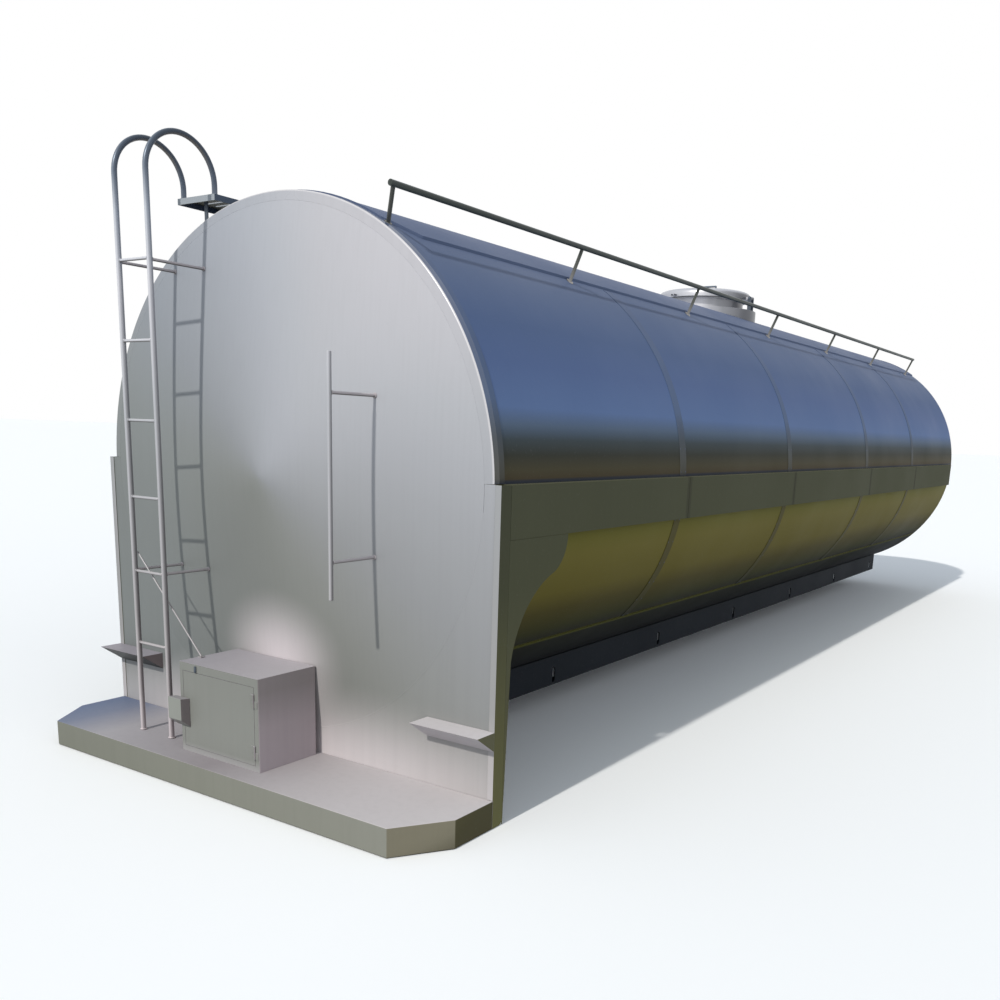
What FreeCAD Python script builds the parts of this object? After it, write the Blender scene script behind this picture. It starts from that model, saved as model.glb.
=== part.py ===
import FreeCAD, Part
import math
import os

# Insulated milk tank body for a road vehicle, in millimetres.
# X points right seen from the rear, Y forward and Z up. The origin is the middle of the
# sub-frame's underside, where the body sits on a chassis.

V = FreeCAD.Vector

# tank section: upper half a circle, lower half a flatter ellipse
tank_r = 1205.0
belly_flat = 65.0
belly_clear = 43.0
tank_len = 8900.0
sheet = 3.0
skin_gap = 0.6

# inner vessel
lining_room = 105.0
vessel_wall = 4.0
vessel_end = 260.0
vessel_skirt = 50.0
cone_rise = 110.0
pad_room = 70.0
block_count = 11
baffle_from_rear = (2840.0, 6240.0)
baffle_t = 4.0
baffle_way = 600.0

# sub-frame
frame_len = 8480.0
rail_x = 570.0
rail_web = 8.0
flange_w = 80.0
station_end = 160.0
station_count = 7
hole_in = 40.0
hole_r = 9.0
slot_w = 36.0
slot_h = 88.0
slot_up = 6.0
slot_round = 16.0
web_t = 8.0
foot_w = 60.0
light_hole_r = 22.0
light_hole_z = 62.0
light_hole_in = (100.0, 180.0)

# outside panels
side_room = 45.0
skirt_over = 35.0
skirt_under = 183.0
skirt_len = 8670.0
skirt_foot = 24.0
body_low = -200.0
corner_leg = 67.0
corner_fold = 30.0
corner_round = 20.0
seam_at = (1740.0, 3440.0, 5360.0, 6980.0)
seam_gap = 3.0
band_w = 30.0
band_rise = 2.0
belly_under = 763.0
belly_rise = 4.0
belly_short = 40.0
strip_x = 672.0
strip_rise = 5.0
strip_lip = 10.0
strip_edge_w = 4.0
strip_taper = 90.0
strip_start = 4.0
strip_short = 12.0
taper_len = 155.0
band_stop = 8.0
arch_top_y = 510.0
arch_foot_y = 99.0
arch_foot_z = 496.0

# rear end
rear_gap = 20.0
dish_rise = 190.0
rim_out = 40.0
rim_turn = 26.0
rim_back = 42.0
plate_t = 5.0
deck_top = -77.0
deck_depth = 485.0
deck_side = 252.0
deck_cut = 155.0
deck_wall = 5.0
rib_x = (-620.0, 0.0, 620.0)
rib_t = 6.0
rib_up = 40.0
ledge_len = 355.0
ledge_depth = 122.0
ledge_top = 221.0
ledge_h = 85.0

# valve cabinet
cab_x = 262.0
cab_front = 373.0
cab_back = 33.5
cab_top = 346.0
cab_wall = 3.0
cab_round = 6.0
door_x = 235.0
door_low = -48.0
door_high = 306.0
door_t = 18.0
door_sheet = 2.0
door_gap = 2.0
hinge_r = 5.0
hinge_pin_r = 2.5
hinge_out = 5.5
hinge_in = 60.0
knuckle_h = 30.0
knuckle_gap = 0.4
leaf_w = 22.0
leaf_t = 3.0
lock_x = (-285.0, -195.0)
lock_z = (44.0, 180.0)
lock_depth = 50.0
lock_slope = 40.0
catch_x = -145.0
catch_z = 315.0
catch_w = 12.0
catch_t = 5.0
catch_long = 24.0
catch_pin_r = 3.0

# outlet
pipe_z = 130.0
pipe_r = 38.0
pipe_wall = 2.0
flange_out = 14.0
flange_t = 8.0
nose_out = 11.0
nose_len = 24.0
valve_out = 20.0
valve_y = 69.0
valve_len = 40.0
valve_neck_r = 14.0
disc_t = 4.0
disc_gap = 0.5
stem_r = 6.0
stem_down = 48.0
stem_up = 100.0
lever_len = 140.0
lever_w = 22.0
lever_t = 6.0
hub_r = 15.0
grip_r = 12.0
grip_len = 74.0
union_len = 75.0

# ladder, grab bar and handrail
stile_x = (-655.5, -437.5)
stile_out = 300.0
stile_r = 12.5
hoop_r = 180.0
hoop_over = 73.0
first_rung = 365.0
rung_pitch = 348.3
top_rung_under = 288.0
rung_r = 7.0
low_hold_z = 718.0
hold_under_rung = 5.0
hold_r = 7.0
hold_pad = 4.0
hold_pad_t = 4.0
tread_y = 30.0
tread_len = 290.0
tread_over = 33.0
tread_out = (7.0, 34.0)
tread_t = 4.0
tread_lip = 27.0
tread_slots = 4
tread_slot_w = 14.0
tread_slot_pitch = 55.0
tread_slot_in = (45.0, 60.0)
leg_w = 22.0
leg_t = 6.0
leg_pad = 30.0
leg_in = (26.0, 60.0)
grab_x = 631.0
grab_span = (-455.0, 517.0)
grab_hold = (-301.0, 363.0)
grab_r = 9.0
brace_r = 4.0
brace_top = 800.0
brace_foot = (18.0, 262.0)
hand_x = 760.0
hand_under = 59.0
hand_r = 12.5
hand_wall = 2.0
hand_y = (-100.0, 8460.0)
post_count = 7
post_in = 20.0
post_r = 9.0
post_pad = 16.0
pad_t = 5.0

# manhole
man_from_rear = 4540.0
neck_r = 305.0
neck_wall = 4.0
neck_rise = 96.0
neck_lip = 16.0
collar_out = 105.0
collar_rise = 17.0
collar_wall = 4.0
lid_out = 57.0
lid_rise = 65.0
lid_gap = 4.0
lid_pin_out = 30.0
lid_pin_over = 13.0
pin_r = 6.0
arm_w = 44.0
lug_t = 10.0
handle_reach = 90.0
handle_rise = 46.0
handle_r = 7.0
bolt_angles = (105.0, 180.0, 255.0)
bolt_out = 24.0
bolt_pin_over = 31.0
bolt_pin_r = 5.0
bolt_r = 6.0
bolt_spare = 48.0
bolt_rest = 105.0
eye_r = 10.0
eye_w = 14.0
nut_r = 11.0
nut_h = 14.0
wing_reach = 30.0
cheek_t = 8.0
cheek_gap = 2.0
fork_out = 14.0
fork_foot = 4.0
fork_top = 16.0
fork_gap = 3.0
nut_gap = 2.0
run_fit = 0.05
weld_gap = 0.3

# places that follow from the sizes above
far = 4 * tank_r
station_pitch = (frame_len - 2 * station_end) / (station_count - 1)
tank_drop = tank_r - belly_flat
axis_z = tank_drop + belly_clear
crown_z = axis_z + tank_r
vessel_r = tank_r - lining_room
rear_y = -frame_len / 2 - rear_gap
front_y = rear_y + tank_len
head_r = tank_r - rim_out
out_y = rear_y - stile_out
half_width = tank_r + side_room
skirt_top = axis_z + skirt_over
skirt_low = axis_z - skirt_under
belly_z = axis_z - belly_under
hole_x = rail_x - hole_in
deck_front_x = half_width - deck_cut
valve_front = rear_y - valve_y
valve_back = valve_front - valve_len
flange_r = pipe_r + flange_out
hoop_z = crown_z + hoop_over
tread_z = crown_z + tread_over
top_rung = crown_z - top_rung_under
hand_z = crown_z - hand_under
man_y = rear_y + man_from_rear
neck_top = crown_z + neck_rise
collar_r = neck_r + collar_out
collar_top = crown_z + collar_rise
lid_r = neck_r + lid_out
lid_low = neck_top + lid_gap
lid_top = lid_low + lid_rise
lid_pin_x = lid_r + lid_pin_out
lid_pin_z = neck_top + lid_pin_over
bolt_ring = lid_r + bolt_out
bolt_pin_z = collar_top + bolt_pin_over
nut_z = lid_low + fork_top + nut_gap


def box(x0, x1, y0, y1, z0, z1):
    return Part.makeBox(x1 - x0, y1 - y0, z1 - z0, V(x0, y0, z0))


def rod(a, b, r):
    return Part.makeCylinder(r, (b - a).Length, a, b - a)


def tube_y(r_out, r_in, y0, y1, x, z):
    outer = Part.makeCylinder(r_out, y1 - y0, V(x, y0, z), V(0, 1, 0))
    return outer.cut(Part.makeCylinder(r_in, y1 - y0, V(x, y0, z), V(0, 1, 0)))


def tube_z(r_out, r_in, z0, z1, x=0.0, y=0.0):
    outer = Part.makeCylinder(r_out, z1 - z0, V(x, y, z0))
    return outer.cut(Part.makeCylinder(r_in, z1 - z0, V(x, y, z0)))


def prism_x(points, x0, x1):
    wire = Part.makePolygon([V(x0, y, z) for y, z in points + points[:1]])
    return Part.Face(wire).extrude(V(x1 - x0, 0, 0))


def prism_z(points, z0, z1):
    wire = Part.makePolygon([V(x, y, z0) for x, y in points + points[:1]])
    return Part.Face(wire).extrude(V(0, 0, z1 - z0))


def spin_y(points, y0):
    """Turns an outline of (radius, distance along Y) about the tank's axis."""
    wire = Part.makePolygon([V(r, y0 + y, axis_z) for r, y in points + points[:1]])
    return Part.Face(wire).revolve(V(0, 0, axis_z), V(0, 1, 0), 360)


def section(grow, y0, y1):
    """A solid bar with the tank's section, grown by so much all round."""
    a = tank_r + grow
    b = tank_drop + grow
    right = V(a, y0, axis_z)
    left = V(-a, y0, axis_z)
    upper = Part.Arc(right, V(0, y0, axis_z + a), left).toShape()
    curve = Part.Ellipse(right, V(0, y0, axis_z - b), V(0, y0, axis_z))
    lower = curve.toShape()
    face = Part.Face(Part.Wire([lower]))
    keep = box(-2 * a, 2 * a, y0 - 1, y1 + 1, axis_z - 2 * b, axis_z)
    low = face.extrude(V(0, y1 - y0, 0)).common(keep)
    top = Part.Face(Part.Wire([upper, Part.makeLine(left, right)]))
    return top.extrude(V(0, y1 - y0, 0)).fuse(low)


def skin(grow, thick, y0, y1):
    return section(grow, y0, y1).cut(section(grow - thick, y0 - 1, y1 + 1))


def lower_z(x, grow):
    """Height of the section's lower half at a distance x from the middle."""
    a = tank_r + grow
    b = tank_drop + grow
    return axis_z - b * math.sqrt(1 - (x / a) ** 2)


def bays(start, end):
    """The lengths between seams, as (start, end) along Y."""
    marks = [start] + list(seam_at) + [end]
    out = []
    for a, b in zip(marks, marks[1:]):
        out.append((rear_y + a + seam_gap / 2, rear_y + b - seam_gap / 2))
    return out


def stations():
    first = -station_pitch * (station_count - 1) / 2
    return [first + i * station_pitch for i in range(station_count)]


def mirrored(shape):
    return shape.mirror(V(0, 0, 0), V(1, 0, 0))


def cone_y(r, rise=cone_rise):
    """How far the rear cone stands out at a distance r from the axis."""
    return rear_y - rise * (1 - r / head_r)


def vessel():
    y0 = rear_y + vessel_end
    y1 = front_y - vessel_end
    barrel = tube_y(vessel_r, vessel_r - vessel_wall, y0, y1, 0, axis_z)
    hole = Part.makeCylinder(neck_r + skin_gap, far, V(0, man_y, axis_z))
    barrel = barrel.cut(hole)
    deep = cone_rise + vessel_skirt
    outline = [(0, 0), (vessel_r, cone_rise), (vessel_r, deep), (vessel_r - vessel_wall, deep),
               (vessel_r - vessel_wall, cone_rise + vessel_wall), (0, vessel_wall)]
    rear = spin_y(outline, y0 - deep)
    pipe_hole = Part.makeCylinder(pipe_r + skin_gap, 2 * deep, V(0, y0 - 2 * deep, pipe_z), V(0, 1, 0))
    front = spin_y([(r, -y) for r, y in outline], y1 + deep)
    return barrel, rear.cut(pipe_hole), front


def insulation():
    """Blocks round the vessel, left open round the manhole's neck."""
    y0 = rear_y + rim_turn + skin_gap
    y1 = front_y - sheet - skin_gap
    gap = sheet + skin_gap
    ring = section(-gap, y0, y1)
    core = Part.makeCylinder(vessel_r + skin_gap, y1 - y0 + 2, V(0, y0 - 1, axis_z), V(0, 1, 0))
    ring = ring.cut(core)
    reach = neck_r + 4 * neck_wall - skin_gap
    half_top = math.degrees(math.asin(reach / vessel_r))
    step = (360 - 2 * half_top) / block_count
    edges = [90 + half_top + i * step for i in range(block_count + 1)]
    blocks = []
    for a, b in zip(edges, edges[1:]):
        blocks.append(ring.common(wedge(a, b, y0, y1)))
    top = ring.common(wedge(90 - half_top, 90 + half_top, y0, y1))
    blocks.append(top.common(box(-far, far, y0, man_y - reach, 0, far)))
    blocks.append(top.common(box(-far, far, man_y + reach, y1, 0, far)))
    return Part.makeCompound(blocks)


def wedge(a, b, y0, y1):
    points = [V(0, y0, axis_z)]
    for t in (a, (a + b) / 2, b):
        c = math.cos(math.radians(t))
        s = math.sin(math.radians(t))
        points.append(V(far * c, y0, axis_z + far * s))
    wire = Part.makePolygon(points + points[:1])
    return Part.Face(wire).extrude(V(0, y1 - y0, 0))


def end_pads():
    """Insulation behind the two coned ends."""
    r = vessel_r - skin_gap
    inset = sheet + skin_gap
    start = vessel_end - cone_rise - vessel_skirt - skin_gap
    rear = spin_y([(0, -cone_rise + inset), (head_r - pad_room, inset + plate_t), (r, inset + plate_t),
                   (r, start + cone_rise), (0, start)], rear_y)
    hole = Part.makeCylinder(pipe_r + skin_gap, 3 * vessel_end, V(0, rear_y - vessel_end, pipe_z), V(0, 1, 0))
    back = inset + 1
    front = spin_y([(0, -start), (r, -start - cone_rise), (r, -back), (0, -back)], front_y)
    return Part.makeCompound([rear.cut(hole), front])


def rear_head():
    """Shallow cone with a rolled rim where it laps over the upper cladding."""
    lap = tank_r + skin_gap
    t = sheet
    cone = spin_y([(0, -cone_rise), (head_r, 0), (head_r, t), (0, t - cone_rise)], rear_y)
    outer = []
    for i in range(7):
        turn = math.radians(15 * i)
        reach = head_r + (lap + t - head_r) * math.sin(turn)
        outer.append((reach, rim_turn * (1 - math.cos(turn))))
    outer += [(lap + t, rim_back), (lap, rim_back), (lap, rim_turn), (head_r, t)]
    rim = spin_y(outer, rear_y)
    keep = box(-far, far, rear_y - 50, rear_y + 200, skirt_top + skin_gap, far)
    head = cone.fuse(rim.common(keep)).removeSplitter()
    hole = Part.makeCylinder(pipe_r + pipe_wall, 400, V(0, rear_y - 200, pipe_z), V(0, 1, 0))
    return head.cut(hole)


def front_head():
    """Dished front end; its lower half follows the flatter belly."""
    r = tank_r
    t = sheet
    outline = [(0, dish_rise)]
    for turn in (15, 30, 45, 60, 75, 90):
        c = math.radians(turn)
        outline.append((r * math.sin(c) ** 0.8, dish_rise * math.cos(c) ** 0.8))
    inner = [(radius * (r - t) / r, y * (dish_rise - t) / dish_rise) for radius, y in outline]
    head_y = front_y - seam_gap / 2 + 0.3
    full = spin_y(outline + inner[::-1], head_y)
    top = full.common(box(-far, far, front_y - 10, front_y + 2 * dish_rise, axis_z, far))
    squash = FreeCAD.Matrix()
    squash.A33 = tank_drop / tank_r
    squash.A34 = axis_z * (1 - tank_drop / tank_r)
    low = full.common(box(-far, far, front_y - 10, front_y + 2 * dish_rise, -far, axis_z))
    low = low.transformGeometry(squash)
    return top.fuse(low)


def upper_cladding():
    keep = box(-far, far, rear_y, front_y, skirt_top, far)
    hole = Part.makeCylinder(neck_r + 1, far, V(0, man_y, axis_z))
    sheets = []
    for y0, y1 in bays(rim_turn, tank_len):
        sheets.append(skin(0, sheet, y0, y1).common(keep).cut(hole))
    return Part.makeCompound(sheets)


def side_cladding():
    sheets = []
    for y0, y1 in bays(plate_t, tank_len):
        wall = skin(0, sheet, y0, y1)
        for x0, x1 in ((0, far), (-far, 0)):
            sheets.append(wall.common(box(x0, x1, y0, y1, belly_z, skirt_top - skin_gap)))
    return Part.makeCompound(sheets)


def belly():
    y0 = rear_y + plate_t + skin_gap
    pan = skin(belly_rise, sheet, y0, front_y - belly_short)
    return pan.common(box(-far, far, y0, front_y, -far, belly_z - skin_gap))


def bands():
    """Cover strips over the seams of the sheets."""
    out = []
    for seam in seam_at:
        y0 = rear_y + seam - band_w / 2
        y1 = y0 + band_w
        hoop = section(skin_gap + band_rise, y0, y1).cut(section(skin_gap, y0 - 1, y1 + 1))
        for side in (1, -1):
            x0, x1 = sorted((side * (strip_x + band_stop), side * far))
            out.append(hoop.common(box(x0, x1, y0, y1, skirt_top + 1, far)))
            x0, x1 = sorted((0, side * far))
            out.append(hoop.common(box(x0, x1, y0, y1, belly_z + 2, skirt_low - 1)))
    return Part.makeCompound(out)


def strip_outline(inset):
    y0 = rear_y + rim_back + strip_start + inset
    y1 = front_y - strip_short - inset
    x = strip_x - inset
    near = x - strip_taper
    wide_y = y0 + taper_len
    return [(-near, y0), (near, y0), (x, wide_y), (x, y1), (-x, y1), (-x, wide_y)]


def strip_edge(y):
    """Half width of the walkway sheet at a place along the tank."""
    run = y - (rear_y + rim_back + strip_start)
    return strip_x - strip_taper * max(0.0, 1 - run / taper_len)


def top_strip():
    """Walkway sheet along the top, with a low gutter edge."""
    low = skin_gap
    y0 = rear_y
    wide = prism_z(strip_outline(0), axis_z, far)
    inner = prism_z(strip_outline(strip_edge_w), axis_z, far)
    core = section(low, y0 - 2, front_y + 2)
    sheet_part = section(low + strip_rise, y0, front_y).cut(core).common(wide)
    edge = section(low + strip_lip, y0, front_y).cut(core).common(wide.cut(inner))
    strip = sheet_part.fuse(edge)
    hole = Part.makeCylinder(neck_r + 1, far, V(0, man_y, axis_z))
    return strip.cut(hole)


def skirt():
    """Side panels with folded top and bottom flanges, one to a bay."""
    inner = math.sqrt(tank_r ** 2 - (skirt_top - sheet - axis_z) ** 2) + skin_gap
    out = []
    for y0, y1 in bays(corner_leg, skirt_len):
        panel = box(half_width - sheet, half_width, y0, y1, skirt_low, skirt_top)
        fold = box(inner, half_width, y0, y1, skirt_top - sheet, skirt_top)
        foot = box(half_width - skirt_foot, half_width, y0, y1, skirt_low, skirt_low + sheet)
        out.append(panel.fuse(fold).fuse(foot).removeSplitter())
    return Part.makeCompound(out)


def fender():
    """Panel behind the wheel, cut in an S to the wheel arch."""
    x0 = half_width - sheet
    top = skirt_low - skin_gap
    start = rear_y + corner_leg + skin_gap
    c = V(x0, rear_y + arch_top_y, top)
    d = V(x0, c.y - 102, top - 158)
    e = V(x0, rear_y + arch_foot_y + skin_gap, arch_foot_z)
    f = V(x0, start + 4, body_low)
    a = V(x0, start, body_low)
    b = V(x0, start, top)
    shoulder = Part.Arc(c, V(x0, c.y - 26, top - 92), d).toShape()
    arch = Part.Arc(d, V(x0, e.y + (d.y - e.y) * 0.313, e.z + (d.z - e.z) * 0.5906), e).toShape()
    edges = [Part.makeLine(a, b), Part.makeLine(b, c), shoulder, arch,
             Part.makeLine(e, f), Part.makeLine(f, a)]
    return Part.Face(Part.Wire(edges)).extrude(V(sheet, 0, 0))


def corner():
    """Folded upright at the rear corner, rounded at its foot."""
    x1 = half_width
    leg = box(x1 - sheet, x1, rear_y, rear_y + corner_leg, body_low, skirt_top)
    foot = [e for e in leg.Edges if abs(e.BoundBox.ZMax - body_low) < 0.1
            and abs(e.BoundBox.YMin - rear_y - corner_leg) < 0.1]
    leg = leg.makeFillet(corner_round, foot)
    back = box(x1 - corner_fold, x1, rear_y - sheet, rear_y, deck_top + 1, skirt_top)
    return leg.fuse(back).removeSplitter()


def rear_plate():
    x = half_width - sheet - skin_gap
    plate = box(-x, x, rear_y, rear_y + plate_t, body_low, skirt_top)
    hole = Part.makeCylinder(head_r + skin_gap, 40, V(0, rear_y - 10, axis_z), V(0, 1, 0))
    return plate.cut(hole)


def deck_outline(inset):
    x = half_width - inset
    y = rear_y - skin_gap
    return [(-x, y - inset), (x, y - inset), (x, rear_y - deck_side),
            (deck_front_x - inset * 0.6, rear_y - deck_depth + inset),
            (-deck_front_x + inset * 0.6, rear_y - deck_depth + inset),
            (-x, rear_y - deck_side)]


def rear_deck():
    """Folded tray with ribs across its underside."""
    tray = prism_z(deck_outline(0), body_low, deck_top)
    tray = tray.cut(prism_z(deck_outline(deck_wall), body_low - 1, deck_top - deck_wall))
    for x in rib_x:
        rib = box(x - rib_t / 2, x + rib_t / 2, rear_y - deck_depth + 2, rear_y - 2, body_low + rib_up, deck_top - 2)
        tray = tray.fuse(rib)
    return tray.removeSplitter()


def ledges():
    y = rear_y - skin_gap
    wedge_yz = [(y, ledge_top), (y - ledge_depth, ledge_top), (y, ledge_top - ledge_h)]
    right = prism_x(wedge_yz, half_width - ledge_len, half_width)
    fold_x = half_width - corner_fold - skin_gap
    fold_y = rear_y - sheet - skin_gap
    right = right.cut(box(fold_x, far, fold_y, rear_y, ledge_top - 2 * ledge_h, ledge_top + 1))
    return Part.makeCompound([right, mirrored(right)])


def cabinet():
    y0 = rear_y - cab_front
    y1 = rear_y - cab_back
    z0 = deck_top + skin_gap
    body = box(-cab_x, cab_x, y0, y1, z0, cab_top)
    body = body.makeFillet(cab_round, [e for e in body.Edges if e.BoundBox.ZLength > 300])
    w = cab_wall
    body = body.cut(box(-cab_x + w, cab_x - w, y0 + w, y1 - w, z0 + w, cab_top - w))
    g = door_gap
    body = body.cut(box(-door_x - g, door_x + g, y0 - 10, y0 + 20, door_low - g, door_high + g))
    body = body.cut(Part.makeCylinder(pipe_r + pipe_wall, 200, V(0, y1 - 100, pipe_z), V(0, 1, 0)))
    body = body.cut(Part.makeCylinder(catch_pin_r + run_fit, 20, V(catch_x, y0 - 5, catch_z), V(0, 1, 0)))
    for z in hinge_rows():
        body = body.fuse(jamb_knuckle(z))
    return body


def hinge_rows():
    return (door_low + hinge_in, door_high - hinge_in)


def hinge_axis():
    return V(door_x + door_gap / 2, rear_y - cab_front - hinge_out, 0)


def jamb_knuckle(z):
    p = hinge_axis()
    bore = hinge_pin_r + run_fit
    barrel = tube_z(hinge_r, bore, z - knuckle_h, z - knuckle_gap, p.x, p.y)
    y1 = rear_y - cab_front
    leaf = box(p.x + bore + 0.05, p.x + leaf_w, y1 - leaf_t, y1, z - knuckle_h, z - knuckle_gap)
    return barrel.fuse(leaf)


def door_knuckle(z):
    p = hinge_axis()
    bore = hinge_pin_r + run_fit
    barrel = tube_z(hinge_r, bore, z + knuckle_gap, z + knuckle_h, p.x, p.y)
    y1 = rear_y - cab_front
    leaf = box(p.x - leaf_w, p.x - bore - 0.05, y1 - leaf_t, y1, z + knuckle_gap, z + knuckle_h)
    return barrel.fuse(leaf)


def cabinet_door():
    y0 = rear_y - cab_front
    panel = box(-door_x, door_x, y0, y0 + door_t, door_low, door_high)
    t = door_sheet
    inside = box(-door_x + t, door_x - t, y0 + t, y0 + door_t + 1, door_low + t, door_high - t)
    door = panel.cut(inside)
    for z in hinge_rows():
        door = door.fuse(door_knuckle(z))
    return door


def hinge_pins():
    p = hinge_axis()
    pins = []
    for z in hinge_rows():
        pins.append(rod(V(p.x, p.y, z - knuckle_h), V(p.x, p.y, z + knuckle_h), hinge_pin_r))
    return Part.makeCompound(pins)


def door_lock():
    y1 = rear_y - cab_front - 0.4
    y0 = y1 - lock_depth
    low, high = lock_z
    outline = [(y1, low), (y1, high), (y0, high + 6), (y0, low + lock_slope)]
    case = prism_x(outline, lock_x[0], lock_x[1])
    w = cab_wall
    return case.cut(box(lock_x[0] + w, lock_x[1] - w, y0 + w, y1 + 1, low + lock_slope, high - w))


def door_catch():
    y1 = rear_y - cab_front - 0.5
    r = catch_w / 2
    bar = box(catch_x - r, catch_x + r, y1 - catch_t, y1, catch_z - r, catch_z + catch_long)
    bar = bar.makeFillet(r - 1, [e for e in bar.Edges if e.BoundBox.YLength > catch_t - 1])
    shank = rod(V(catch_x, y1 - catch_t - 2, catch_z), V(catch_x, y1 + catch_t + 2, catch_z), catch_pin_r)
    return bar.fuse(shank)


def outlet_pipe():
    y1 = rear_y + vessel_end - 10
    bore = pipe_r - pipe_wall
    pipe = tube_y(pipe_r, bore, valve_front, y1, 0, pipe_z)
    flange = tube_y(flange_r, bore, valve_front, valve_front + flange_t, 0, pipe_z)
    return pipe.fuse(flange).removeSplitter()


def valve_body():
    bore = pipe_r - pipe_wall
    ring = Part.makeCylinder(pipe_r + valve_out, valve_len, V(0, valve_back, pipe_z), V(0, 1, 0))
    mid = (valve_front + valve_back) / 2
    neck = Part.makeCylinder(valve_neck_r, stem_up - hub_r + 3, V(0, mid, pipe_z))
    body = ring.fuse(neck)
    body = body.cut(Part.makeCylinder(bore, valve_len + 2, V(0, valve_back - 1, pipe_z), V(0, 1, 0)))
    stem_low = pipe_z - stem_down - 2
    body = body.cut(Part.makeCylinder(stem_r + run_fit, stem_up + 60, V(0, mid, stem_low)))
    return body.removeSplitter()


def valve_stem():
    mid = (valve_front + valve_back) / 2
    disc_r = pipe_r - pipe_wall - disc_gap
    disc = Part.makeCylinder(disc_r, disc_t, V(0, mid - disc_t / 2, pipe_z), V(0, 1, 0))
    stem = rod(V(0, mid, pipe_z - stem_down), V(0, mid, pipe_z + stem_up), stem_r)
    return disc.fuse(stem)


def valve_lever():
    mid = (valve_front + valve_back) / 2
    z0 = pipe_z + stem_up - 11
    half = lever_w / 2
    arm = box(-half - 1, lever_len, mid - half, mid + half, z0, z0 + lever_t)
    arm = arm.makeFillet(half - 1, [e for e in arm.Edges if e.BoundBox.ZLength > lever_t - 1])
    hub = Part.makeCylinder(hub_r, 10, V(0, mid, z0))
    mid_z = z0 + lever_t / 2
    end = lever_len + 14
    grip = rod(V(end - grip_len, mid, mid_z), V(end, mid, mid_z), grip_r)
    lever = arm.fuse(hub).fuse(grip)
    return lever.cut(Part.makeCylinder(stem_r, 60, V(0, mid, z0 - 20)))


def outlet_union():
    y1 = valve_back
    y0 = y1 - union_len
    bore = pipe_r - pipe_wall
    pipe = tube_y(pipe_r, bore, y0, y1, 0, pipe_z)
    flange = tube_y(flange_r, bore, y1 - flange_t, y1, 0, pipe_z)
    nose = tube_y(pipe_r + nose_out, bore, y0, y0 + nose_len, 0, pipe_z)
    return pipe.fuse(flange).fuse(nose).removeSplitter()


def ladder_stile(x):
    """Straight upright, with a hoop welded on that bends over the top and lands on the tread."""
    y = out_y
    run = rod(V(x, y, deck_top + skin_gap), V(x, y, hoop_z - weld_gap), stile_r)
    a = V(x, y, hoop_z)
    b = V(x, y + hoop_r, hoop_z + hoop_r)
    c = V(x, y + 2 * hoop_r, hoop_z)
    end = V(x, y + 2 * hoop_r, tread_z + skin_gap)
    path = Part.Wire([Part.Arc(a, b, c).toShape(), Part.makeLine(c, end)])
    profile = Part.Wire([Part.makeCircle(stile_r, a, V(0, 0, 1))])
    hoop = path.makePipeShell([profile], True, False)
    return [run, hoop]


def ladder_stiles():
    return Part.makeCompound([piece for x in stile_x for piece in ladder_stile(x)])


def ladder_rungs():
    x0 = stile_x[0] + stile_r + weld_gap
    x1 = stile_x[1] - stile_r - weld_gap
    rungs = [rod(V(x0, out_y, z), V(x1, out_y, z), rung_r) for z in rung_rows()]
    return Part.makeCompound(rungs)


def rung_rows():
    """Even steps from the first rung, with one closing rung under the tread."""
    rows = []
    z = first_rung
    while z < top_rung - 0.6 * rung_pitch:
        rows.append(z)
        z += rung_pitch
    return rows + [top_rung]


def standoff(x, z, y0, r):
    """Rod from an upright to the coned head, with a small pad on the head."""
    far = math.hypot(x, z - axis_z)
    y1 = cone_y(far)
    bar = rod(V(x, y0, z), V(x, y1 + 6, z), r)
    pad = rod(V(x, y1 - hold_pad_t, z), V(x, y1 + 6, z), r + hold_pad)
    wide = head_r + rim_out
    cut = spin_y([(0, -cone_rise - skin_gap), (wide, rim_out * cone_rise / head_r - skin_gap),
                  (wide, 60), (0, 60)], rear_y)
    return bar.fuse(pad).cut(cut)


def ladder_standoffs():
    out = []
    for x in stile_x:
        for z in (low_hold_z, top_rung - hold_under_rung):
            out.append(standoff(x, z, out_y + stile_r + weld_gap, hold_r))
    return Part.makeCompound(out)


def tread():
    """Step at the ladder's head, a pressed tray turned down all round."""
    x0 = stile_x[0] - tread_out[0]
    x1 = stile_x[1] + tread_out[1]
    y0 = rear_y + tread_y
    y1 = y0 + tread_len
    tray = box(x0, x1, y0, y1, tread_z - tread_lip, tread_z)
    t = tread_t
    tray = tray.cut(box(x0 + t, x1 - t, y0 + t, y1 - t, tread_z - tread_lip - 1, tread_z - t))
    in_x, in_y = tread_slot_in
    for i in range(tread_slots):
        y = y0 + in_y + i * tread_slot_pitch
        slot = box(x0 + in_x, x1 - in_x, y, y + tread_slot_w, tread_z - 20, tread_z + 5)
        slot = slot.makeFillet(tread_slot_w / 2 - 1, [e for e in slot.Edges if e.BoundBox.ZLength > 20])
        tray = tray.cut(slot)
    return tray


def tread_legs():
    """Flat legs from the tread down to the upper cladding."""
    mid = (stile_x[0] + stile_x[1]) / 2 + tread_out[1]
    half = leg_w / 2
    legs = []
    seat = 2 * skin_gap + strip_rise
    shell = section(seat, rear_y, front_y)
    for y in (rear_y + rim_back + leg_in[0], rear_y + tread_y + tread_len - leg_in[1]):
        leg = box(mid - half, mid + half, y, y + leg_t, tread_z - 400, tread_z - tread_t - weld_gap)
        pad = box(mid - leg_pad, mid + leg_pad, y - 16, y + 16 + leg_t, tread_z - 400, tread_z)
        pad = pad.common(section(seat + pad_t, rear_y, front_y))
        legs.append(leg.fuse(pad).cut(shell))
    return Part.makeCompound(legs)


def grab_bar():
    low, high = [axis_z + z for z in grab_span]
    return rod(V(grab_x, out_y, low), V(grab_x, out_y, high), grab_r)


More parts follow.
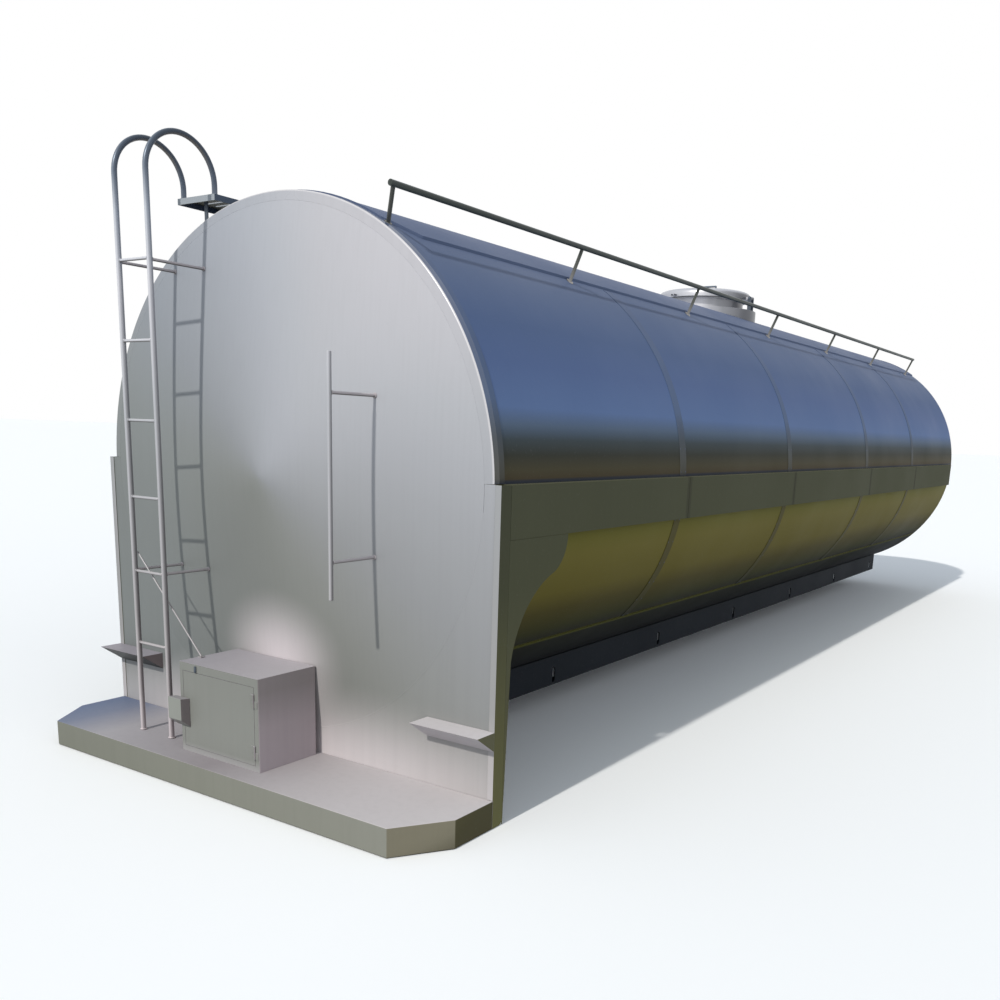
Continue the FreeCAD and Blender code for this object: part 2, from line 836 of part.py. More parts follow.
def grab_standoffs():
    y0 = out_y + grab_r + weld_gap
    return Part.makeCompound([standoff(grab_x, axis_z + z, y0, hold_r) for z in grab_hold])


def brace():
    """Thin rod from the left stile down to the cabinet's top."""
    top = V(stile_x[0] + 2, out_y + stile_r + brace_r + 0.4, brace_top)
    foot = V(-cab_x + brace_foot[0], rear_y - brace_foot[1], cab_top + 5)
    bar = rod(top, foot, brace_r)
    w = 3 * brace_r
    pad = box(foot.x - w, foot.x + w, foot.y - w, foot.y + w, cab_top + weld_gap, cab_top + 4)
    return bar.cut(box(-600, 600, rear_y - 600, rear_y, -300, cab_top + 2)).fuse(pad)


def handrail():
    y0 = rear_y + hand_y[0]
    y1 = rear_y + hand_y[1]
    return tube_y(hand_r, hand_r - hand_wall, y0, y1, hand_x, hand_z)


def handrail_posts():
    shell = section(skin_gap, rear_y - 10, front_y)
    y0 = rear_y + hand_y[0]
    reach = hand_y[1] - hand_y[0]
    rail = Part.makeCylinder(hand_r + weld_gap, reach + 40, V(hand_x, y0 - 20, hand_z), V(0, 1, 0))
    pitch = (reach - 2 * post_in) / (post_count - 1)
    posts = []
    for i in range(post_count):
        y = y0 + post_in + i * pitch
        foot_y = max(y, rear_y + rim_back + post_pad + 1)
        foot_x = strip_edge(foot_y) + post_pad + pad_t
        foot_z = axis_z + math.sqrt(tank_r ** 2 - foot_x ** 2)
        pad = Part.makeCylinder(post_pad, 60, V(foot_x, foot_y, foot_z - 30))
        pad = pad.common(section(skin_gap + pad_t, rear_y, front_y))
        post = rod(V(foot_x, foot_y, foot_z + 4), V(hand_x, y, hand_z), post_r)
        posts.append(post.fuse(pad).cut(shell).cut(rail))
    return Part.makeCompound(posts)


def manhole_neck():
    z0 = axis_z + vessel_r / 2
    tube = tube_z(neck_r, neck_r - neck_wall, z0, neck_top, 0, man_y)
    rim = tube_z(neck_r + neck_lip, neck_r - neck_wall, neck_top - 6, neck_top, 0, man_y)
    inside = vessel_r - vessel_wall
    room = Part.makeCylinder(inside, 4 * neck_r, V(0, man_y - 2 * neck_r, axis_z), V(0, 1, 0))
    return tube.fuse(rim).removeSplitter().cut(room)


def manhole_collar():
    """Spill collar round the neck, shaped to the top of the tank at its foot."""
    t = collar_wall
    ring = tube_z(collar_r, collar_r - t, axis_z + tank_r / 2, collar_top, 0, man_y)
    cover = tube_z(collar_r, neck_r + skin_gap, collar_top - t, collar_top, 0, man_y)
    collar = ring.fuse(cover).removeSplitter()
    seat = skin_gap + strip_rise + 0.4
    return collar.cut(section(seat, man_y - 2 * neck_r, man_y + 2 * neck_r))


def lid():
    """Pressed lid with a rolled edge and the arm of its hinge."""
    h = lid_rise
    w = neck_wall
    pts = [(0, h), (lid_r * 0.45, h - 1), (lid_r - 34, h - 5), (lid_r - 14, h - 13), (lid_r - w, h - 26),
           (lid_r, h - 40), (lid_r, 0), (lid_r - w, 0), (lid_r - w, h - 42), (lid_r - 18, h - 20),
           (0, h - 5)]
    wire = Part.makePolygon([V(r, man_y, lid_low + z) for r, z in pts + pts[:1]])
    dish = Part.Face(wire).revolve(V(0, man_y, 0), V(0, 0, 1), 360)
    half = arm_w / 2
    arm = box(lid_r - 3, lid_pin_x, man_y - half, man_y + half, lid_pin_z - 10, lid_pin_z + 10)
    arm = arm.fuse(Part.makeCylinder(12, arm_w, V(lid_pin_x, man_y - half, lid_pin_z), V(0, 1, 0)))
    hole = Part.makeCylinder(pin_r + run_fit, 80, V(lid_pin_x, man_y - 40, lid_pin_z), V(0, 1, 0))
    return dish.fuse(arm).cut(hole)


def lid_forks():
    """Slotted lugs welded to the lid's edge, which the swing bolts drop into."""
    half = eye_w / 2 + cheek_gap + cheek_t
    slot = bolt_r + fork_gap
    edge = Part.makeCylinder(lid_r + weld_gap, lid_rise, V(0, 0, lid_low))
    forks = []
    for angle in bolt_angles:
        fork = box(lid_r - 10, bolt_ring + fork_out, -half, half, lid_low + fork_foot, lid_low + fork_top)
        fork = fork.cut(edge)
        fork = fork.cut(box(bolt_ring - slot, bolt_ring + 40, -slot, slot, lid_low, lid_top))
        forks.append(placed(fork, angle))
    return Part.makeCompound(forks)


def lid_seal():
    low = neck_top + weld_gap
    return tube_z(neck_r + neck_lip - 2, neck_r - 2, low, lid_low - weld_gap, 0, man_y)


def lid_plate():
    """Flat disc pressed on the seal, inside the lid."""
    return Part.makeCylinder(lid_r - neck_wall - weld_gap, sheet, V(0, man_y, lid_low))


def lid_handle():
    z = lid_top + handle_rise
    z0 = lid_top - 0.2
    reach = handle_reach
    r = handle_r
    handle = rod(V(-reach, man_y, z), V(reach, man_y, z), r)
    for x in (-reach, reach):
        foot = rod(V(x, man_y, z0), V(x, man_y, z), r)
        handle = handle.fuse(foot).fuse(Part.makeSphere(r, V(x, man_y, z)))
    return handle.removeSplitter()


def lid_hinge_lugs():
    lugs = []
    z0 = collar_top + weld_gap
    half = arm_w / 2
    wide = 2 * pin_r + 1
    for y0 in (man_y - half - lug_t - 0.5, man_y + half + 0.5):
        cheek = box(lid_pin_x - wide, lid_pin_x + wide, y0, y0 + lug_t, z0, lid_pin_z)
        cheek = cheek.fuse(Part.makeCylinder(wide, lug_t, V(lid_pin_x, y0, lid_pin_z), V(0, 1, 0)))
        hole = Part.makeCylinder(pin_r, 20, V(lid_pin_x, y0 - 5, lid_pin_z), V(0, 1, 0))
        lugs.append(cheek.cut(hole).removeSplitter())
    return Part.makeCompound(lugs)


def lid_pin():
    half = arm_w / 2 + lug_t + 4
    return rod(V(lid_pin_x, man_y - half, lid_pin_z), V(lid_pin_x, man_y + half, lid_pin_z), pin_r)


def placed(shape, angle):
    shape.rotate(V(0, 0, 0), V(0, 0, 1), angle)
    shape.translate(V(0, man_y, 0))
    return shape


def bolt_lugs():
    """Two cheeks for each swing bolt, joined by the bar that the bolt drops on."""
    z0 = collar_top + weld_gap
    tilt = math.radians(bolt_rest)
    rest_x = 18.0
    rest_z = bolt_pin_z + (rest_x * math.cos(tilt) - bolt_r) / math.sin(tilt) - weld_gap
    inner = eye_w / 2 + cheek_gap
    half = inner + cheek_t
    r = eye_r + 2
    out = []
    for angle in bolt_angles:
        lug = box(bolt_ring + rest_x - 4, bolt_ring + rest_x, -half, half, z0, rest_z)
        for y0 in (-half, inner):
            cheek = box(bolt_ring - r, bolt_ring + rest_x, y0, y0 + cheek_t, z0, rest_z)
            cheek = cheek.fuse(box(bolt_ring - r, bolt_ring + r, y0, y0 + cheek_t, z0, bolt_pin_z))
            cheek = cheek.fuse(Part.makeCylinder(r, cheek_t, V(bolt_ring, y0, bolt_pin_z), V(0, 1, 0)))
            cheek = cheek.cut(Part.makeCylinder(bolt_pin_r, 20, V(bolt_ring, y0 - 5, bolt_pin_z), V(0, 1, 0)))
            lug = lug.fuse(cheek)
        out.append(placed(lug.removeSplitter(), angle))
    return Part.makeCompound(out)


def bolt_pins():
    half = eye_w / 2 + cheek_gap + cheek_t + 3
    out = []
    for angle in bolt_angles:
        pin = rod(V(bolt_ring, -half, bolt_pin_z), V(bolt_ring, half, bolt_pin_z), bolt_pin_r)
        out.append(placed(pin, angle))
    return Part.makeCompound(out)


def swing_bolt(angle):
    """Eye bolt with its wing nut, let down outwards as when the lid is free."""
    z = bolt_pin_z
    eye = Part.makeCylinder(eye_r, eye_w, V(bolt_ring, -eye_w / 2, z), V(0, 1, 0))
    stud = rod(V(bolt_ring, 0, z), V(bolt_ring, 0, nut_z + bolt_spare), bolt_r)
    bolt = eye.fuse(stud)
    bolt = bolt.cut(Part.makeCylinder(bolt_pin_r + run_fit, 20, V(bolt_ring, -10, z), V(0, 1, 0)))
    nut = Part.makeCylinder(nut_r, nut_h, V(bolt_ring, 0, nut_z))
    for side in (1, -1):
        y0, y1 = sorted((side * (nut_r - 2), side * wing_reach))
        wing = box(bolt_ring - 3, bolt_ring + 3, y0, y1, nut_z + 3, nut_z + 24)
        wing = wing.makeFillet(8, [e for e in wing.Edges if e.BoundBox.XLength > 5
                                   and abs(abs(e.BoundBox.YMin) - wing_reach) < 0.1])
        nut = nut.fuse(wing)
    nut = nut.cut(Part.makeCylinder(bolt_r, 60, V(bolt_ring, 0, nut_z - 10)))
    pair = Part.makeCompound([bolt.removeSplitter(), nut.removeSplitter()])
    pair.rotate(V(bolt_ring, 0, z), V(0, 1, 0), bolt_rest)
    return placed(pair, angle)


def rails():
    """Sub-frame rails: a web with an inward foot, slots and bolt holes at each station."""
    y0 = -frame_len / 2
    top = lower_z(rail_x - rail_web, belly_rise) - skin_gap
    web = box(rail_x - rail_web, rail_x, y0, -y0, 0, top)
    foot = box(rail_x - flange_w, rail_x, y0, -y0, 0, rail_web)
    rail = web.fuse(foot).removeSplitter()
    for y in stations():
        z = rail_web + slot_up
        slot = box(rail_x - 20, rail_x + 5, y - slot_w / 2, y + slot_w / 2, z, z + slot_h)
        slot = slot.makeFillet(slot_round, [e for e in slot.Edges if e.BoundBox.XLength > 20])
        rail = rail.cut(slot)
        rail = rail.cut(Part.makeCylinder(hole_r, 30, V(hole_x, y, -5)))
    return Part.makeCompound([rail, mirrored(rail)])


def cross_members():
    """Saddle plates between the rails, cut to the belly, each with a foot."""
    reach = rail_x - rail_web - skin_gap
    foot_x = rail_x - flange_w - skin_gap
    y0 = -frame_len / 2
    belly_bar = section(belly_rise + skin_gap, y0, -y0)
    out = []
    for y in stations():
        low = rail_web + skin_gap
        web = box(-reach, reach, y - web_t / 2, y + web_t / 2, low, lower_z(reach, belly_rise))
        foot = box(-foot_x, foot_x, y - foot_w / 2, y + foot_w / 2, 0, low)
        plate = web.cut(belly_bar).fuse(foot).removeSplitter()
        for inset in light_hole_in:
            for x in (rail_x - inset, inset - rail_x):
                hole = Part.makeCylinder(light_hole_r, 20, V(x, y - 10, light_hole_z), V(0, 1, 0))
                plate = plate.cut(hole)
        out.append(plate)
    return Part.makeCompound(out)


def baffles():
    """Surge plates, left and right, with a clear way between them."""
    r = vessel_r - vessel_wall - skin_gap
    inner = baffle_way / 2
    out = []
    for along in baffle_from_rear:
        y = rear_y + along
        disc = Part.makeCylinder(r, baffle_t, V(0, y, axis_z), V(0, 1, 0))
        for x0, x1 in ((inner, tank_r), (-tank_r, -inner)):
            out.append(disc.common(box(x0, x1, y - 1, y + baffle_t + 1, 0, 2 * tank_r + axis_z)))
    return Part.makeCompound(out)


def spray_ball():
    y = man_y + 620
    z_top = axis_z + vessel_r - vessel_wall - 0.6
    stalk = rod(V(0, y, z_top - 120), V(0, y, z_top), 12)
    ball = Part.makeSphere(34, V(0, y, z_top - 140))
    flange = rod(V(0, y, z_top - 8), V(0, y, z_top - 3), 30)
    return stalk.fuse(ball).fuse(flange)


def build():
    barrel, rear, front = vessel()
    right = skirt()
    nodes = {
        "vessel_barrel": barrel,
        "vessel_rear_head": rear,
        "vessel_front_head": front,
        "insulation": insulation(),
        "end_insulation": end_pads(),
        "rear_head": rear_head(),
        "front_head": front_head(),
        "upper_cladding": upper_cladding(),
        "side_cladding": side_cladding(),
        "belly_sheet": belly(),
        "seam_bands": bands(),
        "top_strip": top_strip(),
        "skirt_right": right,
        "skirt_left": mirrored(right),
        "fender_right": fender(),
        "fender_left": mirrored(fender()),
        "corner_right": corner(),
        "corner_left": mirrored(corner()),
        "rear_plate": rear_plate(),
        "rear_deck": rear_deck(),
        "ledges": ledges(),
        "cabinet": cabinet(),
        "cabinet_door": cabinet_door(),
        "door_hinge_pins": hinge_pins(),
        "door_lock": door_lock(),
        "door_catch": door_catch(),
        "outlet_pipe": outlet_pipe(),
        "valve_body": valve_body(),
        "valve_stem": valve_stem(),
        "valve_lever": valve_lever(),
        "outlet_union": outlet_union(),
        "ladder_stiles": ladder_stiles(),
        "ladder_rungs": ladder_rungs(),
        "ladder_standoffs": ladder_standoffs(),
        "ladder_tread": tread(),
        "tread_legs": tread_legs(),
        "brace_rod": brace(),
        "grab_bar": grab_bar(),
        "grab_standoffs": grab_standoffs(),
        "handrail": handrail(),
        "handrail_posts": handrail_posts(),
        "manhole_neck": manhole_neck(),
        "manhole_collar": manhole_collar(),
        "lid": lid(),
        "lid_forks": lid_forks(),
        "lid_plate": lid_plate(),
        "lid_seal": lid_seal(),
        "lid_handle": lid_handle(),
        "lid_hinge_lugs": lid_hinge_lugs(),
        "lid_pin": lid_pin(),
        "bolt_lugs": bolt_lugs(),
        "bolt_pins": bolt_pins(),
        "swing_bolt_front": swing_bolt(bolt_angles[0]),
        "swing_bolt_left": swing_bolt(bolt_angles[1]),
        "swing_bolt_rear": swing_bolt(bolt_angles[2]),
        "frame_rails": rails(),
        "cross_members": cross_members(),
        "baffles": baffles(),
        "spray_ball": spray_ball(),
    }
    os.makedirs("parts", exist_ok=True)
    for name, shape in nodes.items():
        if not shape.isValid():
            print("invalid", name)
        shape.exportStep("parts/" + name + ".step")
        print(name, len(shape.Solids), round(shape.Volume / 1e6, 2))


build()
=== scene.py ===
import math

import bmesh
import bpy
from mathutils import Matrix, Vector


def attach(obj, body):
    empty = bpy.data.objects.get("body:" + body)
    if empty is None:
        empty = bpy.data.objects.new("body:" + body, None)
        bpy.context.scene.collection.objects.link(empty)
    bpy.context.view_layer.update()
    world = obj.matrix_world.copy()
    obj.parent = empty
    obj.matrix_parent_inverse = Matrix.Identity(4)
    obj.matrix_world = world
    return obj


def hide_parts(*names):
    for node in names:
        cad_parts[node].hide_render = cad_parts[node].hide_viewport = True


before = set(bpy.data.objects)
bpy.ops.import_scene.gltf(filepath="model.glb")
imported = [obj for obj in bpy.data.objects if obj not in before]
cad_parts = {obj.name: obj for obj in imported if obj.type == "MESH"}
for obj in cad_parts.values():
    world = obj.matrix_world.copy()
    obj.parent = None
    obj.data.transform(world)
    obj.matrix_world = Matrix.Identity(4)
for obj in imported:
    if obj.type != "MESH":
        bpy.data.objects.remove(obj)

scene = bpy.context.scene
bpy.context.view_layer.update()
tank = {"axisZ": 1.183, "radius": 1.205, "drop": 1.140, "rearY": -4.26, "frontY": 4.64,
        "skirtTop": 1.218, "seams": (-2.52, -0.82, 1.10, 2.72), "seamGap": 0.003, "sheet": 0.003,
        "stripe": (0.024, 0.032)}
print("frame loaded:", len(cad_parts), "nodes")


# shapes

def settle(bm, name, sharp=35.0):
    bmesh.ops.remove_doubles(bm, verts=bm.verts, dist=1e-5)
    bmesh.ops.recalc_face_normals(bm, faces=bm.faces)
    mesh = bpy.data.meshes.new(name)
    limit = math.radians(sharp)
    for edge in bm.edges:
        edge.smooth = edge.calc_face_angle(0.0) < limit  # open edges count as smooth
    for face in bm.faces:
        face.smooth = True
    bm.to_mesh(mesh)
    bm.free()
    made = bpy.data.objects.new(name, mesh)
    scene.collection.objects.link(made)
    return made


def seat(piece, body, slot, material, *nodes):
    piece.data.materials.clear()
    piece.data.materials.append(material)
    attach(piece, body)
    if nodes:
        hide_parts(*nodes)
    return piece


def addGrid(bm, rows, closeRow=False, closeColumn=False):
    made = [[bm.verts.new(p) for p in row] for row in rows]
    count = len(made)
    wide = len(made[0])
    for i in range(count if closeColumn else count - 1):
        for j in range(wide if closeRow else wide - 1):
            a, b = made[i], made[(i + 1) % count]
            bm.faces.new((a[j], a[(j + 1) % wide], b[(j + 1) % wide], b[j]))
    return made


def addTube(bm, points, radius, sides=16, caps=True):
    path = [Vector(p) for p in points]
    along = (path[1] - path[0]).normalized()
    side = along.orthogonal().normalized()
    rings = []
    for i, p in enumerate(path):
        before = (p - path[i - 1]).normalized() if i else along
        after = (path[i + 1] - p).normalized() if i + 1 < len(path) else before
        heading = (before + after).normalized()
        side = (side - heading * side.dot(heading)).normalized()
        up = heading.cross(side)
        ring = []
        for k in range(sides):
            turn = 2 * math.pi * k / sides
            ring.append(p + (side * math.cos(turn) + up * math.sin(turn)) * radius)
        rings.append(ring)
    if caps:  # a slightly drawn-in end at both ends
        first, last = rings[0], rings[-1]
        inFirst = (path[1] - path[0]).normalized() * radius * 0.12
        inLast = (path[-1] - path[-2]).normalized() * radius * 0.12
        rings[0] = [q + inFirst for q in first]
        rings[-1] = [q - inLast for q in last]
        rings.insert(0, [path[0] + (q - path[0]) * 0.86 for q in first])
        rings.append([path[-1] + (q - path[-1]) * 0.86 for q in last])
    made = addGrid(bm, rings, closeRow=True)
    bm.faces.new(made[0])
    bm.faces.new(made[-1])


def addRing(bm, centre, axis, radius, bead, sides=28, around=8):
    along = Vector(axis).normalized()
    side = along.orthogonal().normalized()
    up = along.cross(side)
    rows = []
    for i in range(sides):
        turn = 2 * math.pi * i / sides
        out = side * math.cos(turn) + up * math.sin(turn)
        lump = bead * (1 + 0.12 * math.sin(turn * 9))  # the ripple of a weld
        row = []
        for j in range(around):
            roll = 2 * math.pi * j / around
            row.append(Vector(centre) + out * (radius + lump * math.cos(roll)) + along * lump * math.sin(roll))
        rows.append(row)
    addGrid(bm, rows, closeRow=True, closeColumn=True)


def addLathe(bm, profile, centre, axis, steps=96, start=0.0, end=360.0, zero=(1, 0, 0)):
    along = Vector(axis).normalized()
    side = Vector(zero)
    up = along.cross(side)
    full = end - start >= 359.9
    rows = []
    for i in range(steps if full else steps + 1):
        turn = math.radians(start + (end - start) * i / steps)
        out = side * math.cos(turn) + up * math.sin(turn)
        rows.append([Vector(centre) + out * r + along * h for r, h in profile])
    made = addGrid(bm, rows, closeRow=True, closeColumn=full)
    if not full:
        bm.faces.new(made[0])
        bm.faces.new(made[-1])


def sectionPoint(turn, grow):
    c, s = math.cos(turn), math.sin(turn)
    up = tank["radius"] + grow
    down = up if s > 0 else tank["drop"] + grow
    return up * c, tank["axisZ"] + down * s


def turnAt(z):
    rise = z - tank["axisZ"]
    return math.asin(max(-1.0, min(1.0, rise / (tank["radius"] if rise > 0 else tank["drop"]))))


def addStrip(bm, fromTurn, toTurn, outer, inner, y0, y1, steps):
    rounding = min(0.0012, (outer - inner) / 3)
    rows = []
    edges = [(inner, y0), (outer - rounding, y0), (outer, y0 + rounding), (outer, y1 - rounding),
             (outer - rounding, y1), (inner, y1)]
    for i in range(steps + 1):
        turn = fromTurn + (toTurn - fromTurn) * i / steps
        row = []
        for grow, y in edges:
            x, z = sectionPoint(turn, grow)
            row.append((x, y, z))
        rows.append(row)
    made = addGrid(bm, rows, closeRow=True)
    bm.faces.new(made[0])
    bm.faces.new(made[-1])


def dress(node, body, slot, material, bevel=0.0, sharp=35.0, name=None, keepSide=0):
    bm = bmesh.new()
    bm.from_mesh(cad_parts[node].data)
    bmesh.ops.remove_doubles(bm, verts=bm.verts, dist=1e-5)
    if keepSide:  # only the right (1) or the left (-1) piece of a pair
        bmesh.ops.delete(bm, geom=[v for v in bm.verts if v.co.x * keepSide < 0], context="VERTS")
    if bevel:
        bmesh.ops.dissolve_limit(bm, angle_limit=math.radians(0.6), verts=bm.verts, edges=bm.edges)
    parts = node.split("_")
    piece = settle(bm, name or parts[0] + "".join(p.title() for p in parts[1:]) + "Piece", sharp)
    if bevel:
        edge = piece.modifiers.new("edge", "BEVEL")
        edge.width = bevel
        edge.segments = 2
        edge.limit_method = "ANGLE"
        edge.angle_limit = math.radians(30)
        edge.harden_normals = True
        view = piece.evaluated_get(bpy.context.evaluated_depsgraph_get())
        done = bpy.data.meshes.new_from_object(view)
        piece.modifiers.remove(edge)
        piece.data = done
    return seat(piece, body, slot, material, node)


# finishes

def tint(red, green, blue):
    return tuple(((v / 255 + 0.055) / 1.055) ** 2.4 for v in (red, green, blue)) + (1.0,)


def add(tree, kind, **values):
    made = tree.nodes.new(kind)
    for key, value in values.items():
        setattr(made, key, value)
    return made


def math2(tree, operation, a, b=None):
    made = add(tree, "ShaderNodeMath", operation=operation)
    for socket, value in zip(made.inputs, (a, b)):
        if isinstance(value, (int, float)):
            socket.default_value = value
        elif value is not None:
            tree.links.new(value, socket)
    return made.outputs[0]


def noise(tree, vector, scale, detail=3.0, stretch=None):
    if stretch:
        turn = add(tree, "ShaderNodeMapping")
        turn.inputs["Scale"].default_value = stretch
        tree.links.new(vector, turn.inputs["Vector"])
        vector = turn.outputs[0]
    made = add(tree, "ShaderNodeTexNoise")
    made.inputs["Scale"].default_value = scale
    made.inputs["Detail"].default_value = detail
    tree.links.new(vector, made.inputs["Vector"])
    return made.outputs["Fac"]


def spanTo(tree, value, low, high, outLow, outHigh):
    made = add(tree, "ShaderNodeMapRange")
    made.inputs["From Min"].default_value = low
    made.inputs["From Max"].default_value = high
    made.inputs["To Min"].default_value = outLow
    made.inputs["To Max"].default_value = outHigh
    tree.links.new(value, made.inputs["Value"])
    return made.outputs[0]


def ramp(tree, value, stops):
    low, high = stops[0][0], stops[-1][0]
    made = add(tree, "ShaderNodeValToRGB")
    band = made.color_ramp
    while len(band.elements) < len(stops):
        band.elements.new(0.5)
    for element, (at, colour) in zip(band.elements, stops):
        element.position = (at - low) / (high - low)
        element.color = tint(*colour)
    tree.links.new(spanTo(tree, value, low, high, 0, 1), made.inputs["Fac"])
    return made.outputs["Color"]


def blendColour(tree, factor, a, b, mode="MIX"):
    made = add(tree, "ShaderNodeMix", data_type="RGBA", blend_type=mode)
    if isinstance(factor, (int, float)):
        made.inputs["Factor"].default_value = factor
    else:
        tree.links.new(factor, made.inputs["Factor"])
    for socket, value in ((made.inputs["A"], a), (made.inputs["B"], b)):
        if isinstance(value, tuple):
            socket.default_value = value
        else:
            tree.links.new(value, socket)
    return made.outputs["Result"]


def shade(tree, spot, given):
    if isinstance(given, tuple):
        return tint(*given)
    # painted sheen round the head's centre
    if "paintedSheenByTurn" in given:
        return paintedSheenAround(tree, spot, given["paintedSheenByTurn"])
    channel = "Z" if "byHeight" in given else "X"
    return ramp(tree, spot.outputs[channel], given.get("byHeight") or given["across"])


def finish(name, look):
    material = bpy.data.materials.new(name)
    material.use_nodes = True
    tree = material.node_tree
    shader = tree.nodes["Principled BSDF"]
    where = add(tree, "ShaderNodeTexCoord").outputs["Object"]
    spot = add(tree, "ShaderNodeSeparateXYZ")
    tree.links.new(where, spot.inputs[0])
    facing = add(tree, "ShaderNodeSeparateXYZ")
    tree.links.new(add(tree, "ShaderNodeTexCoord").outputs["Normal"], facing.inputs[0])
    colour = shade(tree, spot, look["base"])
    # painted light and shade per face: each colour is blended in by which way the surface normal points, so tops,
    # fronts and undersides are lit and shaded copies of one paint
    for channel, low, high, given in look.get("paintedFaceShading", ()):
        share = spanTo(tree, facing.outputs[channel], low, high, 0, 1)
        colour = blendColour(tree, share, colour, shade(tree, spot, given))
    # painted pools of light: soft round patches blended over the colour, standing in for light reflected from the
    # deck and the cabinet
    for x, z, wide, tall, given in look.get("glows", ()):
        colour = blendColour(tree, paintedGlow(tree, spot, x, z, wide, tall), colour, tint(*given))
    if "seamStripe" in look:
        colour = seamStripes(tree, spot, colour, look["seamStripe"])
    level = look.get("level", 1.0)
    colour = blendColour(tree, 1.0, colour, (level, level, level, 1.0), "MULTIPLY")
    stain = tint(60, 58, 50)
    broad = noise(tree, where, 1.6, 4.0)
    colour = blendColour(tree, spanTo(tree, broad, 0.35, 0.75, 0, look.get("cloud", 0.06)), colour, stain)
    streak = noise(tree, where, 1.0, 4.0, look.get("streakScale", (30.0, 30.0, 0.9)))
    colour = blendColour(tree, spanTo(tree, streak, 0.45, 0.8, 0, look.get("streak", 0.05)), colour, stain)
    fleck = noise(tree, where, 90.0, 2.0)
    colour = blendColour(tree, spanTo(tree, fleck, 0.64, 0.76, 0, 0.06), colour,
                         tint(150, 150, 148))
    tree.links.new(colour, shader.inputs["Base Color"])
    rough = look.get("rough", 0.45)
    tree.links.new(spanTo(tree, broad, 0.3, 0.7, rough - 0.06, rough + 0.06), shader.inputs["Roughness"])
    shader.inputs["Metallic"].default_value = look.get("metal", 0.0)
    shader.inputs["Specular IOR Level"].default_value = look.get("gloss", 0.2)
    grain = noise(tree, where, look.get("grainScale", 240.0), 2.0, look.get("grainStretch"))
    bumpFine = bump(tree, grain, look.get("grain", 0.06), 0.002)
    dents = noise(tree, where, 2.2, 0.0)
    tree.links.new(bump(tree, dents, look.get("dent", 0.04), 0.02, bumpFine), shader.inputs["Normal"])
    return material


def seamStripes(tree, spot, colour, given):
    inner, outer = tank["stripe"]
    for seam in tank["seams"]:
        off = math2(tree, "ABSOLUTE", math2(tree, "SUBTRACT", spot.outputs["Y"], seam))
        colour = blendColour(tree, spanTo(tree, off, inner, outer, 1, 0), colour, tint(*given))
    return colour


def bump(tree, height, strength, distance, before=None):
    made = add(tree, "ShaderNodeBump")
    made.inputs["Strength"].default_value = strength
    made.inputs["Distance"].default_value = distance
    tree.links.new(height, made.inputs["Height"])
    if before:
        tree.links.new(before, made.inputs["Normal"])
    return made.outputs[0]


# mask for a painted pool of light: 1 at the centre, fading to 0 at the ellipse's edge
def paintedGlow(tree, spot, x, z, wide, tall):
    across = math2(tree, "DIVIDE", math2(tree, "SUBTRACT", spot.outputs["X"], x), wide)
    up = math2(tree, "DIVIDE", math2(tree, "SUBTRACT", spot.outputs["Z"], z), tall)
    far = math2(tree, "SQRT", math2(tree, "ADD", math2(tree, "MULTIPLY", across, across),
                                    math2(tree, "MULTIPLY", up, up)))
    made = add(tree, "ShaderNodeMapRange", interpolation_type="SMOOTHSTEP")
    made.inputs["From Min"].default_value = 1.0
    made.inputs["From Max"].default_value = 0.0
    tree.links.new(far, made.inputs["Value"])
    return made.outputs[0]


# painted sheen of the brushed rear head: colour set by the direction round the head's centre, brighter towards the
# upper right and darker towards the lower left, standing in for its reflections and shade
def paintedSheenAround(tree, spot, look):
    x = spot.outputs["X"]
    z = math2(tree, "SUBTRACT", spot.outputs["Z"], tank["axisZ"])
    far = math2(tree, "SQRT", math2(tree, "ADD", math2(tree, "MULTIPLY", x, x), math2(tree, "MULTIPLY", z, z)))
    aim = math.radians(look["towards"])
    along = math2(tree, "ADD", math2(tree, "MULTIPLY", x, math.cos(aim)), math2(tree, "MULTIPLY", z, math.sin(aim)))
    share = math2(tree, "DIVIDE", along, math2(tree, "ADD", far, 0.03))
    grown = math2(tree, "ADD", math2(tree, "MULTIPLY", far, 0.45), 0.80)
    colour = ramp(tree, math2(tree, "MULTIPLY", share, grown), look["stops"])
    # painted cool shade: a bluish tint grows towards the left side
    paintedCoolShade = spanTo(tree, x, 0.3, -0.8, 0, 1)
    return blendColour(tree, paintedCoolShade, colour, (0.95, 1.0, 1.07, 1.0), "MULTIPLY")


# painted sheen stops for the rear head: dark in the lower left, bright in the upper right
headPaintedSheen = {"paintedSheenByTurn": {"towards": 55.0, "stops": (
    (-1.3, (132, 133, 128)), (-0.9, (132, 133, 128)), (-0.65, (136, 137, 132)), (-0.4, (141, 142, 138)),
    (-0.1, (148, 149, 148)), (0.15, (154, 155, 157)), (0.4, (162, 163, 166)), (0.6, (168, 169, 173)),
    (0.82, (177, 178, 183)), (1.0, (186, 187, 192)), (1.3, (203, 201, 206)))}}
# painted light on the head and plate: a broad pool along the bottom and one just above the cabinet, standing in for
# light reflected from the deck and the cabinet top
paintedDeckReflection = ((0.1, -0.10, 2.4, 0.42, (222, 214, 215)), (0.03, 0.34, 0.44, 0.36, (226, 217, 219)))
# painted reflection on the upper cladding by height: a brownish band just above the skirt, a dark band above it and
# blue higher up, standing in for the ground, horizon and sky reflected in the sheets
slatePaintedReflection = ((1.217, (54, 57, 66)), (1.229, (56, 59, 66)), (1.236, (78, 69, 52)), (1.27, (76, 71, 54)),
              (1.33, (58, 59, 52)), (1.392, (66, 74, 78)), (1.45, (87, 102, 122)), (1.52, (94, 115, 154)),
              (1.70, (84, 102, 140)), (1.86, (79, 96, 130)), (2.10, (90, 103, 130)), (2.45, (94, 104, 130)))
